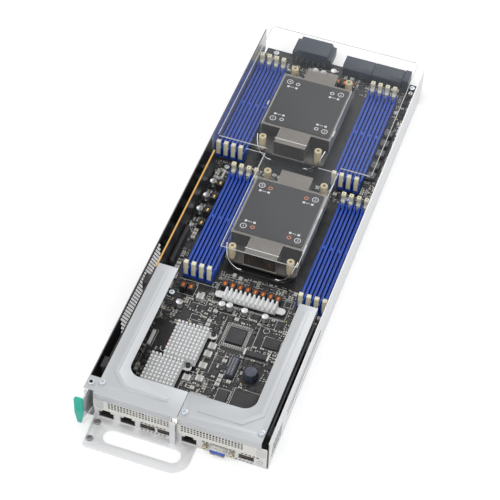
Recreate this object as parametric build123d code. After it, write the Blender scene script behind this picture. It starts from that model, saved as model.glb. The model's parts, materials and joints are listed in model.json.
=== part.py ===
from build123d import *
import os

os.makedirs("parts", exist_ok=True)

# Half-width compute node of a multi-node rack server, in millimetres.
# Places are measured from the outer face of the left wall (x), from the I/O face (y)
# and from the underside of the tray (z). The finished pieces are moved at the end,
# so that the origin is the centre of the tray's underside.

# Sheet metal and clearances
sheet = 1.0
bend_radius = 1.6
wall_height = 39.0
plate = 1.2
loose = 0.3
free_play = 0.1
board_gap = 0.5

# Heights of the board stack
standoff_height = 4.0
board_thickness = 1.6

# Memory sockets
sockets_per_bank = 4
socket_pitch = 7.88
socket_width = 6.5
socket_length = 140.3
rail_height = 8.5
groove_width = 1.5
groove_depth = 6.0
tower_length = 9.0
tower_height = 12.5
tower_slope = 2.0
tower_setback = 0.8
latch_width = 4.2
latch_slot_depth = 7.4
latch_height = 22.0

# Lengthways zones: card bay, near row, gap, far row, connector end
bay_depth = 176.0
row_gap = 19.5
rear_zone = 23.9
rear_tongue = 8.0

# Widthways zones of the near row, which set the width of the tray
near_left_strip = 30.6
near_sink_left_gap = 2.55
near_sink_right_gap = 9.9
right_edge_strip = 5.67
sink_width = 72.5

# Widthways zones of the far row
far_left_strip = 5.8
far_sink_left_gap = 7.3
far_sink_right_gap = 12.2

# Processor heatsinks
sink_length = 114.0
sink_base_thickness = 3.0
sink_corner = 4.0
sink_height = 21.0
fin_count = 17
fin_thickness = 0.9
fin_fold = 0.5
near_sink_shift = 12.9
far_sink_shift = 0.5
tab_width = 34.0
nut_spacing_x = 58.7
nut_spacing_y = 104.3
near_tab = 20.0
far_tab = 17.0
nut_radius = 3.7
nut_neck_radius = 2.5
nut_height = 16.7
nut_recess_depth = 3.0
nut_recess_radius = 2.0
stud_radius = 1.5
stud_reach = 5.0
pipe_width = 5.4
pipe_height = 4.0
pipe_spread = 10.5
pipe_end_in = 3.0

# Processor package and the frame that holds the sink down
package_length = 77.5
package_width = 56.5
package_height = 4.6
lid_length = 60.0
lid_width = 44.0
lid_height = 3.8
lid_corner = 2.0
bolster_thickness = 3.0
bolster_inset = 5.0
bolster_overrun = 2.5
bolster_corner = 6.0
wire_hook_width = 7.0

# Bail wires beside the nuts
wire_radius = 0.6
wire_pivot_in = 8.0
wire_pivot_out = 7.6
wire_pivot_height = 12.0
wire_shoulder_across = 1.2
wire_shoulder_height = 20.0
wire_bend_across = 4.6
wire_bend_in = 4.2
wire_bend_height = 28.5
wire_reach_out = 6.3
wire_reach_in = 10.6
wire_top = 33.0
wire_tail = 4.0

# Riser brackets
bracket_arm_length = 158.0
bracket_front = 2.6
cross_arm_depth = 27.6
left_arm_start = 10.8
left_arm_width = 19.8
right_arm_width = 18.0
right_arm_inset = 6.6
inner_corner_radius = 12.0
bracket_flange = 7.5
bracket_split_gap = 0.5
bead_width = 4.4
bead_height = 0.5
bead_inset = 8.5
bead_turn = 14.0
ear_depth = 15.0

# I/O end
recess_width = 9.5
recess_depth = 14.0
panel_height = 15.6
panel_flange = 6.0
cover_setback = 1.4
cover_sheet = 0.8
cover_flange = 5.0
cover_height = 15.2
cover_columns = 12
cover_rows = 3
cover_hole = 2.5
cover_hole_pitch = 4.9
cover_row_pitch = 3.9
cover_hole_inset = 3.6
left_cover_margin = 15.0
right_cover_margin = 5.0
post_left = 83.4
post_width = 5.4
post_front = 5.2
post_flange = 11.0
post_slope = 4.0
jack_width = 16.0
jack_height = 12.2
jack_depth = 21.3
plug_width = 11.8
plug_height = 7.4
plug_key_width = 6.2
plug_key_height = 2.4
plug_depth = 12.0
usb_width = 14.4
usb_height = 6.8
usb_depth = 17.0
usb_wall = 0.7
usb_tongue = 1.9
usb_tongue_gap = 1.1
vga_width = 31.0
vga_height = 10.2
vga_body_width = 20.0
vga_shell_width = 16.9
vga_shell_height = 8.3
vga_shell_slope = 1.6
vga_shell_reach = 6.0
vga_wall = 0.6
jack_screw_spacing = 25.0
jack_screw_hole = 2.2
jack_nut_radius = 2.8
jack_nut_length = 4.6
button_radius = 2.6
button_travel = 1.2
button_proud = 1.6
plunger_collar = 1.2
switch_depth = 6.0
switch_width = 6.0
switch_height = 3.4

# Pull handle
handle_left = 10.6
handle_length = 97.0
handle_reach = 34.0
handle_tail = 9.0
handle_end_radius = 17.0
handle_corner_radius = 3.0
grip_in = 51.0
grip_length = 74.0
grip_width = 15.5
grip_centre_out = 17.0
gusset_height = 11.0
handle_screw_in = 4.4

# Release latch in the left corner of the I/O end
latch_pin_radius = 1.5
latch_pin_x = 5.6
latch_pin_y = 10.6
lever_sheet = 1.4
lever_low = 5.0
lever_high = 33.0
lever_boss_radius = 3.0
pad_x = -0.8
pad_width = 8.4
pad_height = 35.5
pad_thickness = 3.2
pad_out = 12.0
pad_corner = 2.4
pad_taper = 2.2
pad_taper_start = 15.0
hook_y = 4.2
hook_reach = 2.2

# Air duct
duct_sheet = 0.8
duct_over_wall = 1.0
duct_left = 5.8
duct_right_inset = 8.0
duct_far_overhang = 6.0
duct_lip = 4.5
duct_corner = 2.0
duct_near_end = 197.5
duct_wing = 6.5
duct_wing_flare = 2.0
duct_right_allowance = 2.2
duct_far_left_allowance = 1.6
duct_step_in = 10.5
duct_taper = 10.0
duct_taper_start = 20.0

# Midplane connectors
power_start = 31.0
power_length = 43.0
power_depth = 22.0
power_height = 15.5
power_shoulder = 11.2
power_overhang = 21.5
signal_start = 88.0
signal_length = 32.2
signal_depth = 17.0
signal_height = 12.0
signal_overhang = 13.5
guide_width = 6.5
guide_bore = 1.8
guide_bore_depth = 12.0

# Screws and small round parts, which have this many sides
small_sides = 8
screw_head_radius = 3.0
screw_head_height = 1.8
screw_shank_radius = 1.3
screw_hole_radius = 1.6

# Worked out from the sizes above
floor_top = sheet
board_bottom = floor_top + standoff_height
board_top = board_bottom + board_thickness
bank_span = (sockets_per_bank - 1) * socket_pitch
near_left_x = near_left_strip
near_sink_left = near_left_x + bank_span + socket_width / 2 + near_sink_left_gap
near_sink_x = near_sink_left + sink_width / 2
near_right_x = near_sink_left + sink_width + near_sink_right_gap + socket_width / 2
tray_width = near_right_x + bank_span + right_edge_strip
far_left_x = far_left_strip
far_sink_left = far_left_x + bank_span + socket_width / 2 + far_sink_left_gap
far_sink_x = far_sink_left + sink_width / 2
far_right_x = far_sink_left + sink_width + far_sink_right_gap + socket_width / 2
near_row_y = bay_depth
near_row_end = near_row_y + socket_length
far_row_y = near_row_end + row_gap
tray_length = far_row_y + socket_length + rear_zone
near_sink_y = near_row_y + socket_length / 2 + near_sink_shift
far_sink_y = far_row_y + socket_length / 2 + far_sink_shift
sink_bottom = board_top + package_height + lid_height
sink_base_top = sink_bottom + sink_base_thickness
sink_top = sink_bottom + sink_height
stud_top = sink_base_top + stud_reach
bracket_under = wall_height
bracket_top = bracket_under + plate
duct_top = wall_height + duct_over_wall + duct_sheet
duct_ceiling = duct_top - duct_sheet
handle_top = floor_top + plate
to_origin = Pos(-tray_width / 2, -tray_length / 2, 0)


# Helpers

def prism_x(outline, x_start, x_end):
    """Outline drawn in Y and Z, pulled from x_start to x_end."""
    plane = Plane(origin=(x_start, 0, 0), x_dir=(0, 1, 0), z_dir=(1, 0, 0))
    return extrude(plane * outline, amount=x_end - x_start, dir=(1, 0, 0))


def prism_y(outline, y_start, y_end):
    """Outline drawn in X and Z, pulled from y_start to y_end."""
    plane = Plane(origin=(0, y_start, 0), x_dir=(1, 0, 0), z_dir=(0, -1, 0))
    return extrude(plane * outline, amount=y_end - y_start, dir=(0, 1, 0))


def prism_z(outline, z_start, z_end):
    """Outline drawn in plan, pulled from z_start to z_end."""
    return extrude(Pos(0, 0, z_start) * outline, amount=z_end - z_start, dir=(0, 0, 1))


def panel(low, high):
    """Rectangle between two corners."""
    centre = Pos((low[0] + high[0]) / 2, (low[1] + high[1]) / 2)
    return centre * Rectangle(high[0] - low[0], high[1] - low[1])


def outline_of(*points):
    return Polygon(*points, align=None)


def clipped(width, length, corner):
    """Rectangle about its centre, with its four corners cut off."""
    return chamfer(Rectangle(width, length).vertices(), corner)


def stock(x_start, x_end, y_start, y_end, z_start, z_end):
    """Straight bar of material between two corners."""
    return prism_z(panel((x_start, y_start), (x_end, y_end)), z_start, z_end)


def pin_outline(radius, sides=small_sides):
    """Small round part, no wider than a circle of this radius."""
    return RegularPolygon(radius, sides)


def hole_outline(radius, sides=small_sides):
    """Small round hole, which clears a circle of this radius."""
    return RegularPolygon(radius, sides, major_radius=False)


def pin(x, y, z_start, z_end, radius, sides=small_sides):
    return prism_z(Pos(x, y) * pin_outline(radius, sides), z_start, z_end)


def hole(x, y, z_start, z_end, radius, sides=small_sides):
    return prism_z(Pos(x, y) * hole_outline(radius, sides), z_start, z_end)


def solids_of(pieces):
    found = []
    for piece in pieces:
        found.extend(piece.solids())
    return found


def save(name, *pieces):
    """Write one node, moved so that the origin is the centre of the tray's underside."""
    moved = [to_origin * solid for solid in solids_of(pieces)]
    export_step(Compound(children=moved), f"parts/{name}.step")


# Tray: one folded sheet with two walls, pressed standoffs and vent patterns
mesh_start = 62.0
mesh_columns = 11
mesh_rows = 3
mesh_pitch = 10.2
mesh_row_pitch = 8.4
mesh_hole = 6.0
mesh_slant = 3.4
mesh_low = 9.4
louvre_start = 8.0
louvre_pitch = 4.6
louvre_count = 6
louvre_low = 8.0
louvre_height = 16.0
louvre_width = 2.2
end_chamfer = 13.0
standoff_radius = 3.0
standoff_sides = 6
front_screw_y = 28.0
rear_screw_out = 1.0

board_screw_places = [
    (near_left_x - 5.4, near_row_y - 22.7),
    (tray_width - 22.0, near_row_y - 24.0),
    (far_left_x + 13.7, near_row_end + row_gap * 0.45),
    (far_right_x + 20.0, near_row_end + row_gap * 0.5),
    (power_start - 18.0, tray_length + rear_screw_out),
    (tray_width - 10.8, tray_length + rear_screw_out),
    (95.0, front_screw_y),
    (30.0, front_screw_y),
    (tray_width - 29.0, front_screw_y),
]


def make_tray():
    outer = fillet(panel((0, 0), (tray_width, wall_height)).vertices().group_by(Axis.Y)[0], bend_radius)
    inner = panel((sheet, sheet), (tray_width - sheet, wall_height + sheet))
    inner = fillet(inner.vertices().group_by(Axis.Y)[0], bend_radius - sheet)
    tray = prism_y(outer - inner, 0, tray_length)
    end_cut = outline_of(
        (tray_length - end_chamfer, -sheet),
        (tray_length + sheet, -sheet),
        (tray_length + sheet, end_chamfer),
    )
    cuts = [
        stock(-sheet, bend_radius, -sheet, recess_depth, bend_radius, wall_height + sheet),
        prism_x(end_cut, -sheet, bend_radius),
        prism_x(end_cut, tray_width - bend_radius, tray_width + sheet),
    ]
    for column in range(mesh_columns):
        for row in range(mesh_rows):
            y = mesh_start + (column + 0.5 * (row % 2)) * mesh_pitch
            z = mesh_low + row * mesh_row_pitch
            slot = outline_of(
                (y, z),
                (y + mesh_hole, z),
                (y + mesh_hole + mesh_slant, z + mesh_hole),
                (y + mesh_slant, z + mesh_hole),
            )
            cuts.append(prism_x(slot, -sheet, 2 * sheet))
    for step in range(louvre_count):
        y = louvre_start + step * louvre_pitch
        slot = outline_of(
            (y, louvre_low),
            (y + louvre_width, louvre_low),
            (y + louvre_width + louvre_pitch, louvre_low + louvre_height),
            (y + louvre_pitch, louvre_low + louvre_height),
        )
        cuts.append(prism_x(slot, tray_width - 2 * sheet, tray_width + sheet))
    tray = tray - cuts
    tray += stock(bend_radius, tray_width - bend_radius, tray_length - sheet, tray_length + rear_tongue, 0, sheet)
    for x, y in board_screw_places:
        tray += pin(x, y, floor_top - sheet / 2, board_bottom, standoff_radius, standoff_sides)
    return tray


save("tray", make_tray())


# I/O ports: centres across and heights of the undersides
jack_low = handle_top + free_play
jack_places = (21.0, 41.5, 100.2)
usb_places = (60.6, 77.2, 154.2)
usb_low = 4.4
vga_x = 128.8
vga_low = 4.2
vga_z = vga_low + vga_height / 2
vga_back = jack_depth - vga_shell_reach
port_start = sheet + 0.1
button_x = 167.2
button_z = 6.4
plunger_end = sheet + free_play + plunger_collar
switch_front = plunger_end + button_travel + loose


def port_cutters():
    """Plan outlines of the places where a port sinks through the board's edge."""
    ports = [(x, jack_width, jack_depth) for x in jack_places]
    ports += [(x, usb_width, usb_depth) for x in usb_places]
    ports += [(vga_x, vga_width, vga_back)]
    cutters = []
    for x, width, depth in ports:
        half = width / 2 + board_gap
        cutters.append(panel((x - half, -sheet), (x + half, port_start + depth + board_gap)))
    return cutters


# Board: its front edge is notched round the ports, the latch recess and the button
board_end_gap = 1.0


def make_board():
    edge = sheet + board_gap
    outline = panel((edge, edge), (tray_width - edge, tray_length + rear_tongue - board_end_gap))
    outline -= panel((0, 0), (recess_width + board_gap, recess_depth + board_gap))
    outline -= panel((button_x - button_radius - sheet, 0), (tray_width, switch_front))
    outline -= panel((tray_width - bend_radius - 2 * sheet, 0), (tray_width, panel_flange + board_gap))
    outline -= port_cutters()
    outline -= [Pos(x, y) * hole_outline(screw_hole_radius, 6) for x, y in board_screw_places]
    return prism_z(outline, board_bottom, board_top)


save("motherboard", make_board())


# Board screws: heads on the board, shanks down to the standoffs
def head_screw(x, y, seat, shank):
    """Flat-headed screw standing on a seat."""
    head = pin(x, y, seat, seat + screw_head_height, screw_head_radius)
    return head + pin(x, y, seat - shank, seat, screw_shank_radius, 6)


save("board_screws", *[head_screw(x, y, board_top, board_thickness) for x, y in board_screw_places])


# I/O panel: folded sheet with port cut-outs and rows of square vents
vent_size = 2.0
vent_pitch = 4.4
vent_rows = (
    (12.6, 53.5, 81.5),
    (12.6, 112.0, 146.5),
    (12.6, 148.5, 170.0),
    (1.9, 143.0, 163.0),
)
cut_margin = 0.2


def shell_outline(grow=0.0):
    """Video port's shell seen from the front: wider at the top, with its corners cut off."""
    half = vga_shell_width / 2 + grow
    low = vga_z - vga_shell_height / 2 - grow
    high = vga_z + vga_shell_height / 2 + grow
    outline = outline_of(
        (vga_x - half, high),
        (vga_x + half, high),
        (vga_x + half - vga_shell_slope, low),
        (vga_x - half + vga_shell_slope, low),
    )
    return chamfer(outline.vertices(), vga_shell_slope / 2)


def make_io_panel():
    right = tray_width - bend_radius - free_play
    outline = panel((recess_width, handle_top), (right, panel_height))
    outline += panel((handle_left + handle_length, floor_top), (right, handle_top))
    for x in jack_places:
        half = jack_width / 2 - sheet
        outline -= panel((x - half, jack_low + sheet), (x + half, jack_low + jack_height - sheet))
    for x in usb_places:
        half = usb_width / 2 + cut_margin
        outline -= panel((x - half, usb_low - cut_margin), (x + half, usb_low + usb_height + cut_margin))
    outline -= shell_outline(cut_margin)
    for side in (-1, 1):
        outline -= Pos(vga_x + side * jack_screw_spacing / 2, vga_z) * hole_outline(jack_screw_hole)
    outline -= Pos(button_x, button_z) * hole_outline(button_radius + free_play)
    for z, x_start, x_end in vent_rows:
        count = int((x_end - x_start) / vent_pitch)
        for step in range(count):
            outline -= Pos(x_start + (step + 0.5) * vent_pitch, z) * Rectangle(vent_size, vent_size)
    face = prism_y(outline, 0, sheet)
    top = stock(recess_width, right, 0, panel_flange, panel_height - sheet, panel_height)
    side = stock(right - sheet, right, 0, panel_flange, floor_top, panel_height)
    return face + top + side


save("io_panel", make_io_panel())


# Network jacks: moulded bodies with the stepped plug opening
def make_jack(x):
    low = jack_low
    body = stock(x - jack_width / 2, x + jack_width / 2, port_start, port_start + jack_depth, low, low + jack_height)
    opening_low = low + (jack_height - plug_height - plug_key_height) / 2
    opening = panel((x - plug_width / 2, opening_low), (x + plug_width / 2, opening_low + plug_height))
    key_top = opening_low + plug_height + plug_key_height
    opening += panel((x - plug_key_width / 2, opening_low), (x + plug_key_width / 2, key_top))
    return body - prism_y(opening, 0, port_start + plug_depth)


save("network_jacks", *[make_jack(x) for x in jack_places])


# USB sockets: folded shells with the contact tongue inside
def make_usb(x):
    left = x - usb_width / 2
    right = x + usb_width / 2
    top = usb_low + usb_height
    shell = stock(left, right, 0, port_start + usb_depth, usb_low, top)
    mouth = panel((left + usb_wall, usb_low + usb_wall), (right - usb_wall, top - usb_wall))
    tongue_low = top - usb_wall - usb_tongue_gap - usb_tongue
    mouth -= panel((left + 2 * usb_wall, tongue_low), (right - 2 * usb_wall, tongue_low + usb_tongue))
    return shell - prism_y(mouth, -sheet, plug_depth)


save("usb_sockets", *[make_usb(x) for x in usb_places])


# Video port: shell through the panel, insert, body and the two jack screws
def make_vga():
    front = -vga_shell_reach
    top = vga_low + vga_height
    shell = prism_y(shell_outline(), front, port_start)
    shell -= prism_y(shell_outline(-vga_wall), front - sheet, port_start)
    block = stock(vga_x - vga_width / 2, vga_x + vga_width / 2, sheet, 3 * sheet, vga_low, top)
    block += stock(vga_x - vga_body_width / 2, vga_x + vga_body_width / 2, 2 * sheet, vga_back, vga_low, top)
    insert = prism_y(shell_outline(-2 * vga_wall), front + sheet, sheet)
    nuts = []
    for side in (-1, 1):
        place = Pos(vga_x + side * jack_screw_spacing / 2, vga_z)
        nut = prism_y(place * pin_outline(jack_nut_radius, 6), -jack_nut_length, 0)
        nut -= prism_y(place * pin_outline(screw_shank_radius, 6), -jack_nut_length - sheet, -sheet)
        nuts.append(nut + prism_y(place * pin_outline(screw_shank_radius, 6), -sheet, sheet))
    return [shell + block + insert] + nuts


save("video_port", *make_vga())


# Power button: stepped plunger behind the panel
def make_button():
    place = Pos(button_x, button_z)
    front = prism_y(place * pin_outline(button_radius), -button_proud, sheet + free_play)
    collar_size = 2 * button_radius + sheet
    collar = prism_y(place * Rectangle(collar_size, collar_size), sheet + free_play, plunger_end)
    return front + collar


save("power_button", make_button())


# Slot covers: perforated strips that close the two card slots
cover_low = panel_height + loose
cover_corner = 1.0


def slot_cover(x_start, x_end, first_hole):
    front = -cover_setback
    outline = panel((x_start, cover_low), (x_end, cover_low + cover_height))
    outline = chamfer(outline.vertices(), cover_corner)
    for column in range(cover_columns):
        for row in range(cover_rows):
            x = first_hole + column * cover_hole_pitch
            z = cover_low + cover_height - cover_hole_inset - row * cover_row_pitch
            outline -= Pos(x, z) * Rectangle(cover_hole, cover_hole)
    face = prism_y(outline, front, front + cover_sheet)
    lip_end = front + cover_flange
    return face + stock(x_start + sheet, x_end - sheet, front, lip_end, cover_low, cover_low + cover_sheet)


right_cover_start = post_left + post_width + loose
save("left_slot_cover", slot_cover(recess_width, post_left - loose, recess_width + left_cover_margin))
save(
    "right_slot_cover",
    slot_cover(right_cover_start, tray_width - sheet - loose, right_cover_start + right_cover_margin),
)


# Centre post: folded strip that carries both brackets at the middle of the I/O end
def make_post():
    shelf_low = wall_height - 2 * sheet
    face_top = bracket_under - post_slope
    side = outline_of(
        (-post_front, handle_top),
        (0, handle_top),
        (0, handle_top + sheet),
        (-sheet, handle_top + 2 * sheet),
        (-sheet, shelf_low),
        (post_flange, shelf_low),
        (post_flange, bracket_under),
        (-post_front + post_slope, bracket_under),
        (-post_front, face_top),
    )
    web = prism_x(side, post_left, post_left + sheet)
    return web + stock(post_left, post_left + post_width, -post_front, -post_front + sheet, handle_top, face_top)


save("centre_post", make_post())


# Riser brackets: L-shaped plates with turned edges and a raised bead
left_bracket_end = post_left + post_width + bracket_split_gap
right_bracket_start = left_bracket_end + bracket_split_gap
left_arm_end = left_arm_start + left_arm_width
right_arm_end = tray_width - right_arm_inset
right_arm_start = right_arm_end - right_arm_width


def bracket_flange_bar(x_start, x_end, y_start, y_end):
    return stock(x_start, x_end, y_start, y_end, bracket_under - bracket_flange, bracket_top)


def bead(points):
    """Raised bead that follows a route across the bracket's face."""
    track = trace(Polyline(*points), bead_width)
    return prism_z(track, bracket_top - plate / 2, bracket_top + bead_height)


def make_bracket(arm_start, arm_end, cross_start, cross_end, side):
    """Bracket whose arm is at its left (side 1) or at its right (side -1)."""
    cross = panel((cross_start, -bracket_front), (cross_end, cross_arm_depth))
    arm = panel((arm_start, -bracket_front), (arm_end, bracket_arm_length))
    outline = cross + arm
    inner_x = arm_end if side > 0 else arm_start
    corner = outline.vertices().sort_by_distance((inner_x, cross_arm_depth, 0))[0]
    outline = fillet(corner, inner_corner_radius)
    bracket = prism_z(outline, bracket_under, bracket_top)
    outer_x = arm_start if side > 0 else arm_end - plate
    flange_start = recess_depth
    if side > 0:
        flange_start += panel_flange + bracket_flange
    bracket += bracket_flange_bar(outer_x, outer_x + plate, flange_start, bracket_arm_length)
    front_end = post_left - loose if side > 0 else cross_end
    bracket += bracket_flange_bar(cross_start, front_end, -bracket_front, -bracket_front + plate)
    arm_x = (arm_start + arm_end) / 2
    free_x = cross_end - bead_turn if side > 0 else cross_start + bead_turn
    cross_y = (cross_arm_depth - bracket_front) / 2
    route = [
        (arm_x, bracket_arm_length - bead_inset),
        (arm_x, cross_y + bead_turn),
        (arm_x + side * bead_turn, cross_y),
        (free_x, cross_y),
    ]
    return bracket + bead(route)


def make_left_bracket():
    bracket = make_bracket(left_arm_start, left_arm_end, left_arm_start, left_bracket_end, 1)
    ear = panel((0, 0), (left_arm_start + sheet, ear_depth))
    return bracket + prism_z(ear, bracket_under, bracket_top)


def make_right_bracket():
    return make_bracket(right_arm_start, right_arm_end, right_bracket_start, right_arm_end, -1)


bracket_screw_places = [
    (latch_pin_x - 1.0, latch_pin_y - 3.4),
    (left_arm_start + 3.0, recess_depth - 3.6),
    (right_bracket_start + 4.2, post_flange / 2),
    (right_arm_end - 3.5, 8.0),
]


def drilled(bracket):
    holes = [hole(x, y, 0, bracket_top + plate, screw_hole_radius) for x, y in bracket_screw_places]
    return bracket - holes


save("left_riser_bracket", drilled(make_left_bracket()))
save("right_riser_bracket", drilled(make_right_bracket()))


# Pull handle: flat sheet with a finger slot, rounded end and a side gusset
handle_screw_places = [(handle_left + handle_screw_in, -handle_reach * share) for share in (0.2, 0.75)]


def make_handle():
    left = handle_left
    right = handle_left + handle_length
    outline = panel((left, -handle_reach), (right, handle_tail))
    low_corners = outline.vertices().group_by(Axis.Y)[0].sort_by(Axis.X)
    outline = fillet(low_corners[1], handle_end_radius)
    outline = fillet(outline.vertices().sort_by_distance((left, -handle_reach, 0))[0], handle_corner_radius)
    outline -= Pos(left + grip_in, -grip_centre_out) * SlotOverall(grip_length, grip_width)
    outline -= [Pos(x, y) * hole_outline(screw_hole_radius) for x, y in handle_screw_places]
    handle = prism_z(outline, floor_top, handle_top)
    gusset = outline_of(
        (-handle_reach + handle_corner_radius, handle_top - free_play),
        (0, gusset_height),
        (0, handle_top - free_play),
    )
    return handle + prism_x(gusset, left, left + sheet)


save("pull_handle", make_handle())


# Case screws: bracket screws and the two short screws of the handle
screws = [head_screw(x, y, bracket_top, plate) for x, y in bracket_screw_places]
screws += [head_screw(x, y, handle_top, plate) for x, y in handle_screw_places]
save("case_screws", *screws)


# Release latch: pivot pin, folded lever with its hook, and the moulded finger pad
hook_length = 4.4
hook_root = 3.6
hook_top_drop = 5.0
hook_height = 8.0


def make_lever():
    sheet_back = -pad_out + pad_thickness
    route = Polyline(
        (latch_pin_x, latch_pin_y),
        (latch_pin_x - hook_reach, latch_pin_y / 2),
        (pad_x + hook_length - sheet, -hook_y),
        (pad_x + hook_length - 2 * sheet, sheet_back + lever_sheet / 2),
    )
    outline = trace(route, lever_sheet) + Pos(latch_pin_x, latch_pin_y) * pin_outline(lever_boss_radius)
    lever = prism_z(outline, lever_low, lever_high)
    hook_far = hook_y + hook_length / 2
    hook = outline_of(
        (hook_root, hook_far),
        (hook_root - sheet, hook_y - hook_length / 2),
        (-hook_reach, hook_y + sheet),
        (-hook_reach, hook_far),
    )
    hook_top = lever_high - hook_top_drop
    lever += prism_z(hook, hook_top - hook_height, hook_top)
    backing = Pos(pad_x, (lever_low + lever_high) / 2) * clipped(pad_width - 2 * sheet, lever_high - lever_low, sheet)
    lever += prism_y(backing, sheet_back, sheet_back + lever_sheet)
    bore = prism_z(Pos(latch_pin_x, latch_pin_y) * Circle(latch_pin_radius + free_play), 0, wall_height)
    return lever - bore


def make_pad():
    low = floor_top
    high = low + pad_height
    left = pad_x - pad_width / 2
    right = pad_x + pad_width / 2
    outline = outline_of(
        (left + pad_taper, low),
        (right - pad_taper, low),
        (right, low + pad_taper_start),
        (right, high),
        (left, high),
        (left, low + pad_taper_start),
    )
    outline = fillet(outline.vertices().group_by(Axis.Y)[-1], pad_corner)
    return prism_y(outline, -pad_out, -pad_out + pad_thickness)


pivot = prism_z(Pos(latch_pin_x, latch_pin_y) * Circle(latch_pin_radius), floor_top, bracket_under)
save("latch_pivot", pivot)
save("latch_lever", make_lever())
save("latch_pad", make_pad())


# Riser cards stand along the walls, under the bracket arms
card_thickness = 1.6
card_step = 9.0
card_low = board_top + loose
card_top = bracket_under - 1.6
left_card_x = 8.2
right_card_inset = 5.2
left_card_start = 30.0
right_card_start = 10.0
right_card_length = 132.0
slot_start = 32.0
slot_width = 7.5
slot_body = 11.0
slot_length = 89.0
slot_end_wall = 2.0
slot_low = board_top + 14.0
edge_clip = 5.0
edge_clip_length = 12.0


def make_card(x, y_start, y_end):
    outline = outline_of(
        (y_start, card_low + card_step),
        (y_start + card_step, card_low + card_step),
        (y_start + 2 * card_step, card_low),
        (y_end, card_low),
        (y_end, card_top),
        (y_start, card_top),
    )
    return prism_x(outline, x, x + card_thickness)


right_card_x = tray_width - right_card_inset
save(
    "riser_cards",
    make_card(left_card_x, left_card_start, near_row_end),
    make_card(right_card_x, right_card_start, right_card_start + right_card_length),
)


def card_slot(x_wall, x_mouth):
    """Edge-card slot lying on its side: its groove faces the middle of the node."""
    inwards = 1 if x_mouth > x_wall else -1
    left, right = sorted((x_wall, x_mouth))
    body = stock(left, right, slot_start, slot_start + slot_length, slot_low, slot_low + slot_width)
    middle = slot_low + slot_width / 2
    left, right = sorted((x_wall + inwards * slot_end_wall, x_mouth + inwards))
    return body - stock(
        left,
        right,
        slot_start + slot_end_wall,
        slot_start + slot_length - slot_end_wall,
        middle - groove_width / 2,
        middle + groove_width / 2,
    )


def edge_clips(x_start, x_end, *places):
    high = slot_low + 2 * slot_width
    return [stock(x_start, x_end, y, y + edge_clip_length, slot_low, high) for y in places]


left_slot_x = left_card_x + card_thickness
right_clip_x = right_card_x + card_thickness
clips = edge_clips(
    left_card_x - edge_clip,
    left_card_x,
    left_card_start,
    bracket_arm_length - 2 * edge_clip_length,
)
clips += edge_clips(
    right_clip_x,
    tray_width - sheet - loose,
    right_card_start,
    bracket_arm_length - 4 * edge_clip_length,
)
save(
    "riser_slots",
    card_slot(left_slot_x, left_slot_x + slot_body),
    card_slot(right_card_x, right_card_x - slot_body),
    *clips,
)


# Memory sockets: two rails, a keyed groove and forked ends
banks = {
    "near_left": (near_left_x, near_row_y),
    "near_right": (near_right_x, near_row_y),
    "far_left": (far_left_x, far_row_y),
    "far_right": (far_right_x, far_row_y),
}
cheek = (socket_width - latch_width) / 2 - loose
key_place = 0.53
key_length = 3.6


def make_socket(x, y_start):
    half = socket_width / 2
    z = board_top
    near = y_start + tower_setback
    far = y_start + socket_length - tower_setback
    near_tower = y_start + tower_length
    far_tower = y_start + socket_length - tower_length
    side = outline_of(
        (near, z),
        (far, z),
        (far, z + tower_height),
        (far_tower, z + tower_height),
        (far_tower - tower_slope, z + rail_height),
        (near_tower + tower_slope, z + rail_height),
        (near_tower, z + tower_height),
        (near, z + tower_height),
    )
    socket = prism_x(side, x - half, x + half)
    groove_low = z + rail_height - groove_depth
    groove_top = z + tower_height + sheet
    key_y = y_start + socket_length * key_place
    slot_half = groove_width / 2
    cuts = [
        stock(x - slot_half, x + slot_half, near, key_y, groove_low, groove_top),
        stock(x - slot_half, x + slot_half, key_y + key_length, far, groove_low, groove_top),
    ]
    bay_half = half - cheek
    y_end = y_start + socket_length
    for start, end in ((y_start, y_start + latch_slot_depth), (y_end - latch_slot_depth, y_end)):
        cuts.append(stock(x - bay_half, x + bay_half, start, end, groove_low, groove_top))
    return socket - cuts


for bank, (first_x, bank_y) in banks.items():
    bank_sockets = [make_socket(first_x + step * socket_pitch, bank_y) for step in range(sockets_per_bank)]
    save(f"{bank}_memory_sockets", *bank_sockets)


# Socket latches: each turns outwards about the foot of its tower
latch_foot = rail_height - groove_depth + 0.8
latch_lip = 4.4
latch_stem = 3.8
latch_tooth = 5.2
latch_toe = 6.6


def latch_outline():
    """Side view of a latch: distance in from the socket's end, height above the board."""
    return [
        (1.8, latch_foot),
        (0.3, latch_foot + 1.4),
        (0.0, latch_height),
        (latch_lip, latch_height),
        (latch_lip, latch_height - 3.4),
        (latch_stem - 0.6, latch_height - 4.6),
        (latch_stem - 0.6, tower_height + 1.1),
        (latch_tooth, tower_height - 1.1),
        (latch_stem, tower_height - 2.7),
        (latch_toe, latch_foot + 1.8),
        (latch_toe - 1.0, latch_foot),
    ]


def make_latch(x, y_end, inward):
    points = [(y_end + inward * along, board_top + up) for along, up in latch_outline()]
    return prism_x(outline_of(*points), x - latch_width / 2, x + latch_width / 2)


for bank, (first_x, bank_y) in banks.items():
    for end, y_end, inward in (("near", bank_y, 1), ("far", bank_y + socket_length, -1)):
        latches = [make_latch(first_x + step * socket_pitch, y_end, inward) for step in range(sockets_per_bank)]
        save(f"{bank}_latches_{end}", *latches)


# Processor packages, with their raised lids
cpu_places = {"cpu1": (near_sink_x, near_sink_y), "cpu2": (far_sink_x, far_sink_y)}


def make_processor(x, y):
    lid_bottom = board_top + package_height
    package = prism_z(Pos(x, y) * Rectangle(package_width, package_length), board_top, lid_bottom)
    return package + prism_z(Pos(x, y) * clipped(lid_width, lid_length, lid_corner), lid_bottom, sink_bottom)


save("processors", *[make_processor(x, y) for x, y in cpu_places.values()])


# Bolster plates: stamped frames round the sockets, with a stud for each nut and a hook for each wire
def corner_signs():
    return [(across, along) for along in (-1, 1) for across in (-1, 1)]


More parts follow.
